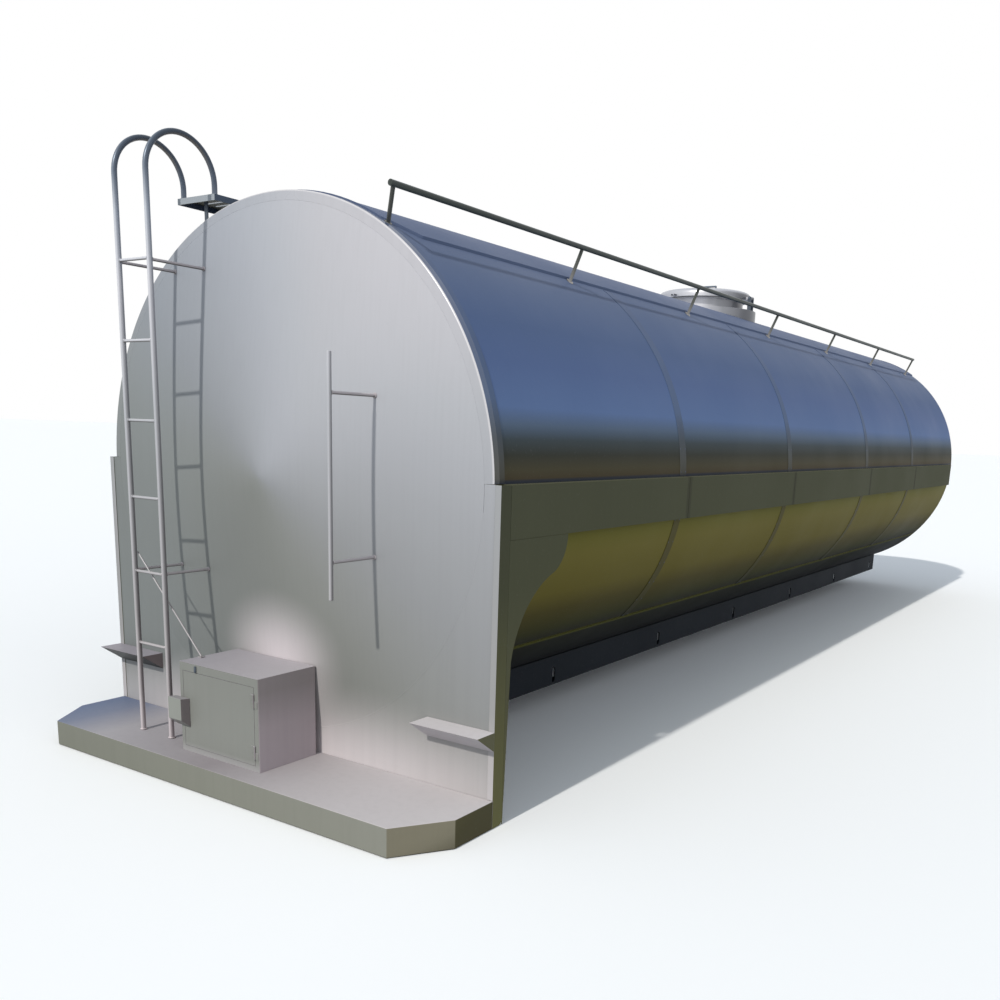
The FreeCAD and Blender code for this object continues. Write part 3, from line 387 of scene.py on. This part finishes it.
# painted reflection on the seam bands and the end band by height, following the upper cladding's
bandPaintedReflection = ((1.217, (52, 56, 66)), (1.24, (84, 82, 74)), (1.30, (84, 84, 80)), (1.40, (78, 84, 90)),
             (1.55, (88, 104, 132)), (1.75, (84, 99, 128)), (2.0, (88, 101, 128)), (2.45, (94, 104, 128)))
# painted light on the ladder and grab bar tubes by height: lighter and warmer near the deck, dark at the hoops
tubePaintedShading = ((-0.08, (214, 204, 206)), (0.15, (186, 179, 180)), (0.5, (176, 172, 173)), (1.5, (186, 187, 192)),
             (2.0, (214, 213, 219)), (2.3, (196, 200, 208)), (2.47, (118, 128, 142)), (2.66, (78, 90, 104)))
# painted shade for the side of the tubes turned to the right, away from the light
tubeShade = ((-0.08, (170, 160, 162)), (0.15, (128, 121, 122)), (0.5, (112, 108, 109)), (1.5, (136, 136, 139)),
             (2.0, (160, 160, 166)), (2.3, (134, 141, 153)), (2.47, (76, 86, 101)), (2.66, (54, 64, 76)))
# painted highlight for the side of the tubes facing left
tubeLight = ((-0.08, (226, 217, 219)), (1.5, (214, 214, 220)), (2.2, (236, 238, 244)), (2.5, (214, 220, 230)),
             (2.66, (150, 160, 174)))
looks = {
    # the rear head and plate carry the painted sheen and the painted deck reflection
    "headSheenPainted": {"base": headPaintedSheen, "glows": paintedDeckReflection, "rough": 0.5, "metal": 0.1, "gloss": 0.2, "cloud": 0.02,
                  "streak": 0.03, "streakScale": (70.0, 70.0, 0.6), "dent": 0.02, "level": 0.915},
    "plateSheenPainted": {"base": headPaintedSheen, "glows": paintedDeckReflection, "rough": 0.5, "metal": 0.1, "gloss": 0.2, "cloud": 0.02,
                   "level": 0.915},
    # the rolled rim: a painted highlight on its faces turned back, and the seam bands' painted reflection on its
    # outer faces
    "rimSheenPainted": {"base": headPaintedSheen, "paintedFaceShading": (("Y", -0.98, -0.86, (216, 213, 215)),
                                               ("Y", -0.45, -0.25, {"byHeight": bandPaintedReflection})),
                 "rough": 0.3, "metal": 0.1, "gloss": 0.3, "cloud": 0.02, "level": 0.9},
    # upper cladding: colour by height is painted reflection
    "slate": {"base": {"byHeight": slatePaintedReflection}, "rough": 0.5, "gloss": 0.03, "cloud": 0.02, "streak": 0.02,
              "dent": 0.012},
    # upper seam bands: colour by height is painted reflection
    "band": {"base": {"byHeight": bandPaintedReflection}, "rough": 0.5, "gloss": 0.03},
    # lower seam bands: darker towards the bottom, painted shade
    "bandLowPaintedShade": {"base": {"byHeight": ((0.42, (44, 44, 34)), (0.60, (72, 68, 38)), (0.80, (80, 74, 42)),
                                      (0.95, (84, 79, 44)))}, "rough": 0.5, "gloss": 0.04},
    "slatePlain": {"base": (84, 94, 116), "rough": 0.4, "gloss": 0.2},
    # side and belly cladding: darker towards the bottom, painted shade under the tank, with a thin lighter line at
    # about z 0.41
    "olive": {"base": {"byHeight": ((0.04, (23, 26, 31)), (0.25, (26, 28, 28)), (0.36, (29, 30, 25)),
                                    (0.40, (32, 33, 27)), (0.408, (76, 76, 34)), (0.418, (76, 76, 34)),
                                    (0.43, (43, 43, 36)), (0.49, (57, 57, 33)), (0.60, (76, 70, 36)),
                                    (0.70, (100, 92, 43)), (0.80, (106, 98, 47)), (0.88, (111, 103, 51)),
                                    (0.97, (108, 104, 49)), (1.22, (100, 97, 49)))},
              "rough": 0.55, "gloss": 0.03, "cloud": 0.03, "streak": 0.02, "dent": 0.015},
    # skirts: lighter towards the floor, painted light; the seam stripes are the darker seam bands
    "skirt": {"base": {"byHeight": ((-0.2, (108, 106, 73)), (0.3, (92, 91, 69)), (0.8, (84, 85, 66)),
                                    (1.22, (83, 84, 67)))},
              "seamStripe": (74, 74, 60), "rough": 0.6, "gloss": 0.02, "cloud": 0.03},
    # corner uprights: lighter towards the floor, painted light, and their back faces painted like the lit rear plate,
    # brightest near the deck
    "corner": {"base": {"byHeight": ((-0.2, (112, 110, 74)), (0.2, (100, 98, 68)), (0.8, (77, 78, 60)),
                                     (1.22, (75, 76, 61)))},
               "paintedFaceShading": (("Y", -0.7, -0.95, {"byHeight": ((-0.2, (194, 188, 188)), (-0.05, (190, 185, 186)),
                                                           (0.1, (180, 176, 176)), (0.3, (158, 157, 157)),
                                                           (1.22, (164, 165, 167)))}),),
               "rough": 0.6, "gloss": 0.03, "cloud": 0.03},
    # rear deck: lit and shaded copies of one paint per face; the top's colour changes across it, bluish at the left
    # end and lighter to the right, painted reflection and shade
    "deck": {"base": (80, 76, 54),
             "paintedFaceShading": (("Y", -0.2, -0.5, (128, 123, 106)),
                         ("Y", -0.6, -0.9, {"across": ((-1.25, (124, 125, 115)), (1.1, (140, 140, 131)))}),
                         ("Z", -0.3, -0.6, (60, 60, 56)),
                         ("Z", 0.4, 0.8, {"across": ((-1.22, (104, 116, 142)), (-1.05, (121, 128, 148)),
                                                     (-0.9, (148, 148, 158)), (-0.75, (168, 164, 168)),
                                                     (-0.3, (160, 155, 158)), (0.0, (150, 143, 146)),
                                                     (0.25, (166, 160, 162)), (0.5, (184, 178, 179)),
                                                     (0.8, (194, 188, 189)), (1.2, (200, 194, 194)))})),
             "rough": 0.55, "gloss": 0.06, "cloud": 0.03},
    # right ledge: painted light, a light underside and a lit top
    "ledgeRight": {"base": {"across": ((0.88, (112, 103, 94)), (1.2, (96, 94, 70)))},
                   "paintedFaceShading": (("Z", 0.4, 0.8, (205, 199, 200)), ("Z", -0.3, -0.6, (192, 188, 192))),
                   "rough": 0.5, "gloss": 0.1},
    # left ledge: painted shade, a dark underside; its top is a lit copy of the same paint
    "ledgeLeft": {"base": (128, 117, 117),
                  "paintedFaceShading": (("Z", 0.4, 0.8, (152, 147, 154)), ("Z", -0.3, -0.6, (66, 67, 67))),
                  "rough": 0.5, "gloss": 0.1},
    # cabinet: painted light and shade, sides darker towards the top, a lit top, and a front lighter along its bottom
    # edge as painted reflection of the deck
    "cabinet": {"base": {"byHeight": ((-0.08, (172, 161, 165)), (0.12, (166, 155, 158)), (0.28, (142, 134, 134)))},
                "paintedFaceShading": (("Z", 0.4, 0.8, {"across": ((-0.4, (154, 150, 156)), (0.35, (178, 172, 175)))}),
                            ("Y", -0.4, -0.8, {"byHeight": ((-0.085, (170, 167, 168)), (-0.03, (138, 139, 134)),
                                                            (0.3, (134, 135, 130)))})),
                "rough": 0.5, "gloss": 0.1, "cloud": 0.02},
    # door lock: lit top and front, painted as lighter copies of its paint
    "lock": {"base": (126, 118, 118),
             "paintedFaceShading": (("Z", 0.4, 0.8, (152, 148, 150)), ("Y", -0.4, -0.8, (144, 146, 140))),
             "rough": 0.45, "gloss": 0.2},
    # ladder tubes: painted light by height, painted shade on the right side and painted highlight on the left side,
    # with dark undersides
    "ladder": {"base": {"byHeight": tubePaintedShading}, "paintedFaceShading": (("X", 0.35, 0.9, {"byHeight": tubeShade}),
                                                          ("X", -0.3, -0.85, {"byHeight": tubeLight}),
                                                          ("Z", -0.2, -0.7, (112, 108, 105))),
               "rough": 0.34, "metal": 0.2, "gloss": 0.3, "cloud": 0.04},
    # stand-offs: painted dark undersides and lit tops
    "standOffPaintedLight": {"base": (176, 169, 171), "paintedFaceShading": (("Z", -0.2, -0.7, (98, 93, 91)),
                                                      ("Z", 0.3, 0.8, (196, 189, 191))),
                 "rough": 0.34, "metal": 0.2, "gloss": 0.3},
    # ladder tread: painted lit top and front, painted shade underneath
    "tread": {"base": (84, 94, 108), "paintedFaceShading": (("Z", 0.4, 0.8, (170, 175, 178)), ("Y", -0.4, -0.8, (160, 166, 172)),
                                                 ("Z", -0.3, -0.6, (84, 82, 66))), "rough": 0.5, "gloss": 0.15},
    # handrail posts: painted light, light at the foot and dark towards the top
    "post": {"base": {"byHeight": ((2.10, (178, 171, 169)), (2.17, (150, 146, 142)), (2.24, (98, 99, 92)),
                                   (2.33, (72, 76, 70)))}, "rough": 0.4, "metal": 0.2, "gloss": 0.3},
    "darkSteel": {"base": (80, 88, 98), "rough": 0.45, "metal": 0.2, "gloss": 0.3},
    # handrail: painted highlight along its top
    "rail": {"base": (60, 66, 63), "paintedFaceShading": (("Z", 0.5, 0.95, (122, 128, 132)),), "rough": 0.4, "gloss": 0.2},
    # manhole: painted light and shade, lighter on the left and on top, darker to the right
    "manhole": {"base": (166, 168, 176),
                "paintedFaceShading": (("X", -0.91, -0.24, (196, 197, 204)), ("X", -0.24, 0.2, (216, 215, 219)),
                            ("X", 0.35, 0.7, (136, 137, 141)), ("X", 0.7, 0.97, (98, 99, 104)),
                            ("Z", 0.3, 0.8, (178, 180, 188))),
                "rough": 0.3, "metal": 0.3, "gloss": 0.4, "cloud": 0.04},
    "chassis": {"base": (30, 34, 40), "rough": 0.6, "gloss": 0.05, "cloud": 0.05},
    "stainless": {"base": (190, 191, 193), "rough": 0.28, "metal": 0.9, "gloss": 0.5,
                  "grainStretch": (1.0, 14.0, 1.0)},
    "foam": {"base": (205, 186, 135), "rough": 0.9, "gloss": 0.1, "grain": 0.6, "grainScale": 60.0},
    "grip": {"base": (32, 32, 34), "rough": 0.35, "gloss": 0.5, "grain": 0.02},
    "seal": {"base": (205, 204, 198), "rough": 0.7, "gloss": 0.2, "grain": 0.05},
}
finishes = {name: finish(name, look) for name, look in looks.items()}
print("finishes:", len(finishes))


# rear end

head = {"radius": 1.165, "rise": 0.110, "sheet": 0.003, "rimTurn": 0.009, "rimBack": 0.042, "lap": 0.0006,
        "endBand": 0.078, "rings": 14, "bead": 0.004, "beadRise": 0.0006}


def rearHead():
    bm = bmesh.new()
    rings = head["rings"]
    profile = [(head["radius"] * i / rings, -head["rise"] * (1 - i / rings)) for i in range(rings + 1)]
    profile += [(head["radius"], head["sheet"]), (0.0, head["sheet"] - head["rise"])]
    addLathe(bm, profile, (0, tank["rearY"], tank["axisZ"]), (0, 1, 0), steps=192)
    seat(settle(bm, "headCone"), "tank", "head_grey", finishes["headSheenPainted"], "rear_head")
    bm = bmesh.new()
    out = tank["radius"] + head["lap"] + head["sheet"]
    slope = head["rise"] / head["radius"]
    turnR = head["rimTurn"]
    start = slope * (out - turnR - head["radius"])
    rim = [(head["radius"] + 0.0003, 0.0)]
    for i in range(11):  # the cone's slope runs out to a tight rolled edge
        turn = math.radians(9 * i)
        rim.append((out - turnR + turnR * math.sin(turn), start + turnR * (1 - math.cos(turn))))
    rim += [(out, head["rimBack"]), (out - head["sheet"], head["rimBack"]),
            (out - head["sheet"], start + turnR), (head["radius"] + 0.0003, head["sheet"])]
    low = math.degrees(math.asin((tank["skirtTop"] + 0.0006 - tank["axisZ"]) / head["radius"]))
    addLathe(bm, rim, (0, tank["rearY"], tank["axisZ"]), (0, 1, 0), 160, low + 180, 360 - low, (1, 0, 0))
    seat(settle(bm, "headRim"), "tank", "head_grey", finishes["rimSheenPainted"])
    bm = bmesh.new()
    turn = turnAt(tank["skirtTop"] + 0.001)
    addStrip(bm, turn, math.pi - turn, head["lap"] + head["sheet"], head["lap"],
             tank["rearY"] + head["rimBack"] + 0.0005, tank["rearY"] + head["endBand"], 120)
    seat(settle(bm, "endBand"), "tank", "slate_paint", finishes["band"])
    bm = bmesh.new()  # filler bead where the cone meets the plate
    wide, rise = head["bead"], head["beadRise"]
    bead = [(head["radius"] + wide * across, rise * up)
            for across, up in ((-1, 1), (-0.5, -0.67), (0.25, -1), (0.75, -0.67), (1, 1))]
    addLathe(bm, bead, (0, tank["rearY"], tank["axisZ"]), (0, 1, 0), 160, low + 2, 178 - low, (1, 0, 0))
    seat(settle(bm, "headBead"), "tank", "head_grey", finishes["plateSheenPainted"])


rearHead()
dress("rear_plate", "tank", "head_grey", finishes["plateSheenPainted"], 0.0012)
dress("rear_deck", "tank", "deck_paint", finishes["deck"], 0.004)
dress("ledges", "tank", "deck_paint", finishes["ledgeRight"], 0.0012, keepSide=1, name="ledgeRight")
dress("ledges", "tank", "deck_paint", finishes["ledgeLeft"], 0.0012, keepSide=-1, name="ledgeLeft")
for side in ("right", "left"):
    dress("corner_" + side, "tank", "deck_paint", finishes["corner"], 0.0012)
    dress("fender_" + side, "tank", "skirt_paint", finishes["skirt"], 0.0012)
    dress("skirt_" + side, "tank", "skirt_paint", finishes["skirt"], 0.0012)
print("rear end and sides")


# cladding

def cladding():
    gap = tank["seamGap"] / 2
    marks = [tank["rearY"] + 0.026, *tank["seams"], tank["frontY"]]
    upperTurn = turnAt(tank["skirtTop"])
    lowTurn = turnAt(0.42)
    bm = bmesh.new()
    for a, b in zip(marks, marks[1:]):
        addStrip(bm, upperTurn, math.pi - upperTurn, 0.0, -tank["sheet"], a + gap, b - gap, 150)
    seat(settle(bm, "upperSheets"), "tank", "slate_paint", finishes["slate"], "upper_cladding")
    marks[0] = tank["rearY"] + 0.005
    bm = bmesh.new()
    for a, b in zip(marks, marks[1:]):
        for start, end in ((lowTurn, upperTurn - 0.0005), (math.pi - upperTurn + 0.0005, math.pi - lowTurn)):
            addStrip(bm, start, end, 0.0, -tank["sheet"], a + gap, b - gap, 40)
    seat(settle(bm, "sideSheets"), "tank", "olive_paint", finishes["olive"], "side_cladding")
    bm = bmesh.new()
    addStrip(bm, math.pi - lowTurn + 0.0005, 2 * math.pi + lowTurn - 0.0005, 0.004, 0.001,
             tank["rearY"] + 0.0056, tank["frontY"] - 0.04, 90)
    seat(settle(bm, "bellySheet"), "tank", "olive_paint", finishes["olive"], "belly_sheet")


bandLook = {"width": 0.075, "low": 0.0006, "high": 0.0026, "stripX": 0.68, "rivetStep": 0.12, "rivet": 0.0035,
            "rivetOff": 0.028}


def bandTurns():
    upper = math.acos(bandLook["stripX"] / tank["radius"])
    skirtTurn = turnAt(tank["skirtTop"] + 0.001)
    low, high = turnAt(0.422), turnAt(0.999)
    return (((skirtTurn, upper), (math.pi - upper, math.pi - skirtTurn)),
            ((low, high), (math.pi - high, math.pi - low)))


def bands():
    upper, lower = bandTurns()
    for name, turns, look in (("upperBands", upper, "band"), ("lowerBands", lower, "bandLowPaintedShade")):
        bm = bmesh.new()
        for seam in tank["seams"]:
            for start, end in turns:
                addStrip(bm, start, end, bandLook["high"], bandLook["low"], seam - bandLook["width"] / 2,
                         seam + bandLook["width"] / 2, 40)
        seat(settle(bm, name), "tank", "slate_paint", finishes[look], "seam_bands")


cladding()
bands()
dress("top_strip", "tank", "slate_paint", finishes["slate"], 0.0, 30.0)
dress("front_head", "tank", "slate_paint", finishes["slate"], 0.0, 50.0)
print("cladding")


# access

ladder = {"stiles": (-0.6555, -0.4375), "y": -4.56, "foot": -0.0764, "hoopZ": 2.461, "hoop": 0.18, "end": 2.4216,
          "tube": 0.0125, "rungs": (0.365, 0.7133, 1.0616, 1.4099, 1.7582, 2.100), "rung": 0.007,
          "holds": (0.718, 2.095), "hold": 0.007, "pad": 0.004,
          "weld": 0.003, "fineWeld": 0.0022, "hoopSteps": 32}


def ladderPieces():
    steel = finishes["ladder"]
    bm = bmesh.new()
    for x in ladder["stiles"]:
        path = [(x, ladder["y"], ladder["foot"]), (x, ladder["y"], 1.2), (x, ladder["y"], ladder["hoopZ"])]
        for i in range(1, ladder["hoopSteps"]):
            turn = math.pi * i / ladder["hoopSteps"]
            path.append((x, ladder["y"] + ladder["hoop"] * (1 - math.cos(turn)),
                         ladder["hoopZ"] + ladder["hoop"] * math.sin(turn)))
        path.append((x, ladder["y"] + 2 * ladder["hoop"], ladder["hoopZ"]))
        path.append((x, ladder["y"] + 2 * ladder["hoop"], ladder["end"]))
        addTube(bm, path, ladder["tube"], 24)
        weld = ladder["weld"]
        for y, z in ((ladder["y"], ladder["foot"]), (ladder["y"] + 2 * ladder["hoop"], ladder["end"])):
            addRing(bm, (x, y, z + weld), (0, 0, 1), ladder["tube"] + 0.001, weld)
    seat(settle(bm, "ladderStiles"), "tank", "tube_steel", steel, "ladder_stiles")


def standOffs(name, node, spots, startY, thick):
    lean = math.atan(head["rise"] / head["radius"])
    bm = bmesh.new()
    for x, z in spots:
        far = math.hypot(x, z - tank["axisZ"])
        endY = tank["rearY"] - head["rise"] * (1 - far / head["radius"])
        addTube(bm, [(x, startY, z), (x, endY - 0.001, z)], thick, 16)
        addRing(bm, (x, startY + 0.001, z), (0, 1, 0), thick + 0.0005, ladder["fineWeld"])
        out = Vector((x, 0, z - tank["axisZ"])).normalized()
        aim = Vector((0, 1, 0)) * math.cos(lean) - out * math.sin(lean)
        wide, deep = thick + ladder["pad"], ladder["pad"]
        disc = [(0.0, 0.0), (wide - 0.0015, 0.0), (wide, 0.0012), (wide, deep), (0.0, deep)]
        addLathe(bm, disc, Vector((x, endY, z)) - aim * (deep + 0.0008), aim, 28, zero=aim.orthogonal().normalized())
    seat(settle(bm, name), "tank", "tube_steel", finishes["standOffPaintedLight"], node)


def rowTree():
    tree = bpy.data.node_groups.new("pieceRow", "GeometryNodeTree")
    face = tree.interface
    face.new_socket("places", in_out="INPUT", socket_type="NodeSocketGeometry")
    face.new_socket("piece", in_out="INPUT", socket_type="NodeSocketObject")
    face.new_socket("size", in_out="INPUT", socket_type="NodeSocketFloat")
    face.new_socket("finish", in_out="INPUT", socket_type="NodeSocketMaterial")
    face.new_socket("row", in_out="OUTPUT", socket_type="NodeSocketGeometry")
    given = add(tree, "NodeGroupInput")
    result = add(tree, "NodeGroupOutput")
    info = add(tree, "GeometryNodeObjectInfo")
    aim = add(tree, "GeometryNodeInputNamedAttribute", data_type="FLOAT_VECTOR")
    aim.inputs["Name"].default_value = "aim"
    turn = add(tree, "FunctionNodeAlignRotationToVector", axis="Z")
    spread = add(tree, "GeometryNodeInstanceOnPoints")
    real = add(tree, "GeometryNodeRealizeInstances")
    paint = add(tree, "GeometryNodeSetMaterial")
    link = tree.links.new
    link(given.outputs["piece"], info.inputs["Object"])
    link(aim.outputs["Attribute"], turn.inputs["Vector"])
    link(given.outputs["places"], spread.inputs["Points"])
    link(info.outputs["Geometry"], spread.inputs["Instance"])
    link(turn.outputs["Rotation"], spread.inputs["Rotation"])
    link(given.outputs["size"], spread.inputs["Scale"])
    link(spread.outputs["Instances"], real.inputs["Geometry"])
    link(real.outputs["Geometry"], paint.inputs["Geometry"])
    link(given.outputs["finish"], paint.inputs["Material"])
    link(paint.outputs["Geometry"], result.inputs["row"])
    return tree


rowNodes = rowTree()


def spreadRow(name, source, places, aims, size, material):
    mesh = bpy.data.meshes.new(name + "Places")
    mesh.from_pydata(places, [], [])
    held = mesh.attributes.new("aim", "FLOAT_VECTOR", "POINT")
    for item, aim in zip(held.data, aims):
        item.vector = aim
    base = bpy.data.objects.new(name + "Places", mesh)
    scene.collection.objects.link(base)
    row = base.modifiers.new("row", "NODES")
    row.node_group = rowNodes
    keys = {item.name: item.identifier for item in rowNodes.interface.items_tree if item.in_out == "INPUT"}
    row[keys["piece"]] = source
    row[keys["size"]] = size
    row[keys["finish"]] = material
    shown = base.evaluated_get(bpy.context.evaluated_depsgraph_get())
    made = bpy.data.objects.new(name, bpy.data.meshes.new_from_object(shown))
    scene.collection.objects.link(made)
    base.modifiers.remove(row)
    bpy.data.objects.remove(base)
    bpy.data.objects.remove(source)
    for face in made.data.polygons:
        face.use_smooth = True
    return made


def rungs():
    half = (ladder["stiles"][1] - ladder["stiles"][0]) / 2 - ladder["tube"]
    bm = bmesh.new()
    addTube(bm, [(-half, 0, 0), (0, 0, 0), (half, 0, 0)], ladder["rung"], 18)
    for end in (-1, 1):
        addRing(bm, (end * (half - 0.001), 0, 0), (1, 0, 0), ladder["rung"] + 0.0006, ladder["fineWeld"])
    source = settle(bm, "rungSource")
    middle = sum(ladder["stiles"]) / 2
    places = [(middle, ladder["y"], z) for z in ladder["rungs"]]
    piece = spreadRow("ladderRungs", source, places, [(0, 0, 1)] * len(places), 1.0, finishes["ladder"])
    seat(piece, "tank", "tube_steel", finishes["ladder"], "ladder_rungs")


def rivets():
    bm = bmesh.new()
    dome = [(0.0, 0.35), (0.45, 0.30), (0.8, 0.17), (1.0, -0.02), (0.0, -0.02)]
    addLathe(bm, dome, (0, 0, 0), (0, 0, 1), 10)
    source = settle(bm, "rivetSource", 60)
    places, aims = [], []
    upper, lower = bandTurns()
    for seam in tank["seams"]:
        for start, end in upper + lower:
            count = max(2, int((end - start) * tank["radius"] / bandLook["rivetStep"]))
            for i in range(count + 1):
                turn = start + (end - start) * (0.02 + 0.96 * i / count)
                x, z = sectionPoint(turn, bandLook["high"])
                for shift in (-bandLook["rivetOff"], bandLook["rivetOff"]):
                    places.append((x, seam + shift, z))
                    aims.append((math.cos(turn), 0, math.sin(turn)))
    piece = spreadRow("bandRivets", source, places, aims, bandLook["rivet"], finishes["slatePlain"])
    seat(piece, "tank", "slate_paint", finishes["slatePlain"])


rail = {"x": 0.76, "z": 2.329, "tube": 0.0125, "y0": -4.36, "y1": 4.20}
grab = {"x": 0.631, "y": -4.56, "low": 0.728, "high": 1.700, "tube": 0.009, "holds": (0.882, 1.546)}


def grabBar():
    bm = bmesh.new()
    addTube(bm, [(grab["x"], grab["y"], z) for z in (grab["low"], 1.2, grab["high"])], grab["tube"], 24)
    seat(settle(bm, "grabBar"), "tank", "tube_steel", finishes["ladder"], "grab_bar")
    standOffs("grabStandOffs", "grab_standoffs", [(grab["x"], z) for z in grab["holds"]],
              grab["y"] + grab["tube"], ladder["hold"])


def handrail():
    bm = bmesh.new()
    addTube(bm, [(rail["x"], y, rail["z"]) for y in (rail["y0"], 0, rail["y1"])], rail["tube"], 28)
    seat(settle(bm, "handrailTube"), "tank", "dark_steel", finishes["rail"], "handrail")
    dress("handrail_posts", "tank", "dark_steel", finishes["post"], 0.0, 40.0)


ladderPieces()
standOffs("ladderStandOffs", "ladder_standoffs", [(x, z) for x in ladder["stiles"] for z in ladder["holds"]],
          ladder["y"] + ladder["tube"], ladder["hold"])
rungs()
rivets()
grabBar()
handrail()
dress("ladder_tread", "tank", "dark_steel", finishes["tread"], 0.0015)
dress("tread_legs", "tank", "dark_steel", finishes["darkSteel"], 0.001)
dress("brace_rod", "tank", "tube_steel", finishes["ladder"])
print("ladder and rails")


# cabinet and outlet

dress("cabinet", "tank", "deck_paint", finishes["cabinet"], 0.0012)
dress("cabinet_door", "door_body", "deck_paint", finishes["cabinet"], 0.0008)
dress("door_hinge_pins", "tank", "tube_steel", finishes["ladder"])
dress("door_lock", "door_body", "deck_paint", finishes["lock"], 0.002)
dress("door_catch", "catch_body", "tube_steel", finishes["darkSteel"])
dress("outlet_pipe", "tank", "stainless", finishes["stainless"])
dress("valve_body", "tank", "stainless", finishes["stainless"], 0.0008)
dress("valve_stem", "valve_turn", "stainless", finishes["stainless"])
dress("valve_lever", "valve_turn", "grip_plastic", finishes["grip"], 0.0008)
dress("outlet_union", "tank", "stainless", finishes["stainless"], 0.0006)
print("cabinet")


# manhole

dress("manhole_neck", "tank", "stainless", finishes["manhole"])
dress("manhole_collar", "tank", "dark_steel", finishes["manhole"], 0.001)
dress("lid", "lid_body", "lid_steel", finishes["manhole"], 0.0, 40.0)
dress("lid_forks", "lid_body", "lid_steel", finishes["manhole"], 0.0008)
dress("lid_plate", "lid_body", "stainless", finishes["stainless"])
dress("lid_seal", "lid_body", "seal_rubber", finishes["seal"])
dress("lid_handle", "lid_body", "tube_steel", finishes["ladder"])
dress("lid_hinge_lugs", "tank", "dark_steel", finishes["darkSteel"], 0.0008)
dress("lid_pin", "tank", "tube_steel", finishes["ladder"])
dress("bolt_lugs", "tank", "dark_steel", finishes["darkSteel"], 0.0008)
dress("bolt_pins", "tank", "tube_steel", finishes["ladder"])
for place in ("front", "left", "rear"):
    dress("swing_bolt_" + place, "bolt_" + place, "tube_steel", finishes["ladder"])
print("manhole")


# inside and below

for nodeName, finishName, slotName in (
        ("vessel_barrel", "stainless", "stainless"), ("vessel_rear_head", "stainless", "stainless"),
        ("vessel_front_head", "stainless", "stainless"), ("baffles", "stainless", "stainless"),
        ("spray_ball", "stainless", "stainless"), ("insulation", "foam", "foam"),
        ("end_insulation", "foam", "foam")):
    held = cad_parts[nodeName]
    held.data.materials.clear()
    held.data.materials.append(finishes[finishName])
dress("frame_rails", "tank", "frame_paint", finishes["chassis"], 0.001)
dress("cross_members", "tank", "frame_paint", finishes["chassis"], 0.001)
print("inside and sub-frame")


# floor, light and camera

setting = {"floorZ": -0.203, "floorSize": 400.0, "floorSeen": (0.98, 0.98, 0.98, 1.0),
           "floorBounce": (0.5, 0.5, 0.5, 1.0), "sky": 0.5, "skyTint": (0.87, 0.98, 1.10, 1.0),
           "sunPower": 2.3, "sunTint": (1.0, 0.975, 0.92), "sunAim": (0.0, -1.0, 0.869), "sunSize": 1.5,
           "fillPower": 0.6, "fillTint": (1.0, 1.0, 1.0), "fillAim": (1.0, -0.15, 0.25), "fillSize": 60.0,
           "cameraAt": (3.4430, -7.3867, 1.4315), "lens": 35.18, "shiftX": -0.03, "shiftY": 0.15,
           "cameraTurn": ((0.8329, -0.15051, 0.53256), (0.55227, 0.16389, -0.8174),
                          (0.03574, 0.97493, 0.21963))}


def seenRays(tree):
    ray = add(tree, "ShaderNodeLightPath")
    return math2(tree, "MAXIMUM", ray.outputs["Is Camera Ray"],
                 math2(tree, "MAXIMUM", ray.outputs["Is Glossy Ray"], ray.outputs["Is Transmission Ray"]))


def floorAndLight():
    bm = bmesh.new()
    half = setting["floorSize"] / 2
    z = setting["floorZ"]
    corners = ((-1, -1), (1, -1), (1, 1), (-1, 1))
    bm.faces.new([bm.verts.new((half * x, half * y, z)) for x, y in corners])
    floor = settle(bm, "floor")
    material = bpy.data.materials.new("floorPaint")
    material.use_nodes = True
    tree = material.node_tree
    shader = tree.nodes["Principled BSDF"]
    seen = seenRays(tree)
    tree.links.new(blendColour(tree, seen, setting["floorBounce"], setting["floorSeen"]), shader.inputs["Base Color"])
    shader.inputs["Roughness"].default_value = 0.9
    shader.inputs["Specular IOR Level"].default_value = 0.1
    floor.data.materials.append(material)
    world = bpy.data.worlds.new("studio")
    scene.world = world
    world.use_nodes = True
    tree = world.node_tree
    light = tree.nodes["Background"]
    seen = seenRays(tree)
    tree.links.new(spanTo(tree, seen, 0, 1, setting["sky"], 1.0), light.inputs["Strength"])
    tree.links.new(blendColour(tree, seen, setting["skyTint"], (1, 1, 1, 1)), light.inputs["Color"])
    for name in ("sun", "fill"):
        lamp = bpy.data.lights.new(name, "SUN")
        lamp.energy = setting[name + "Power"]
        lamp.color = setting[name + "Tint"]
        lamp.angle = math.radians(setting[name + "Size"])
        made = bpy.data.objects.new(name, lamp)
        scene.collection.objects.link(made)
        made.rotation_euler = Vector(setting[name + "Aim"]).to_track_quat("Z", "Y").to_euler()


def camera():
    data = bpy.data.cameras.new("camera")
    data.sensor_width = 36.0
    data.lens = setting["lens"]
    data.shift_x = setting["shiftX"]
    data.shift_y = setting["shiftY"]
    data.clip_end = 200.0
    made = bpy.data.objects.new("camera", data)
    scene.collection.objects.link(made)
    turn = Matrix(setting["cameraTurn"])
    made.matrix_world = Matrix.Translation(setting["cameraAt"]) @ turn.normalized().to_4x4()
    scene.camera = made


floorAndLight()
camera()
scene.view_settings.view_transform = "Standard"
print("floor, light and camera")
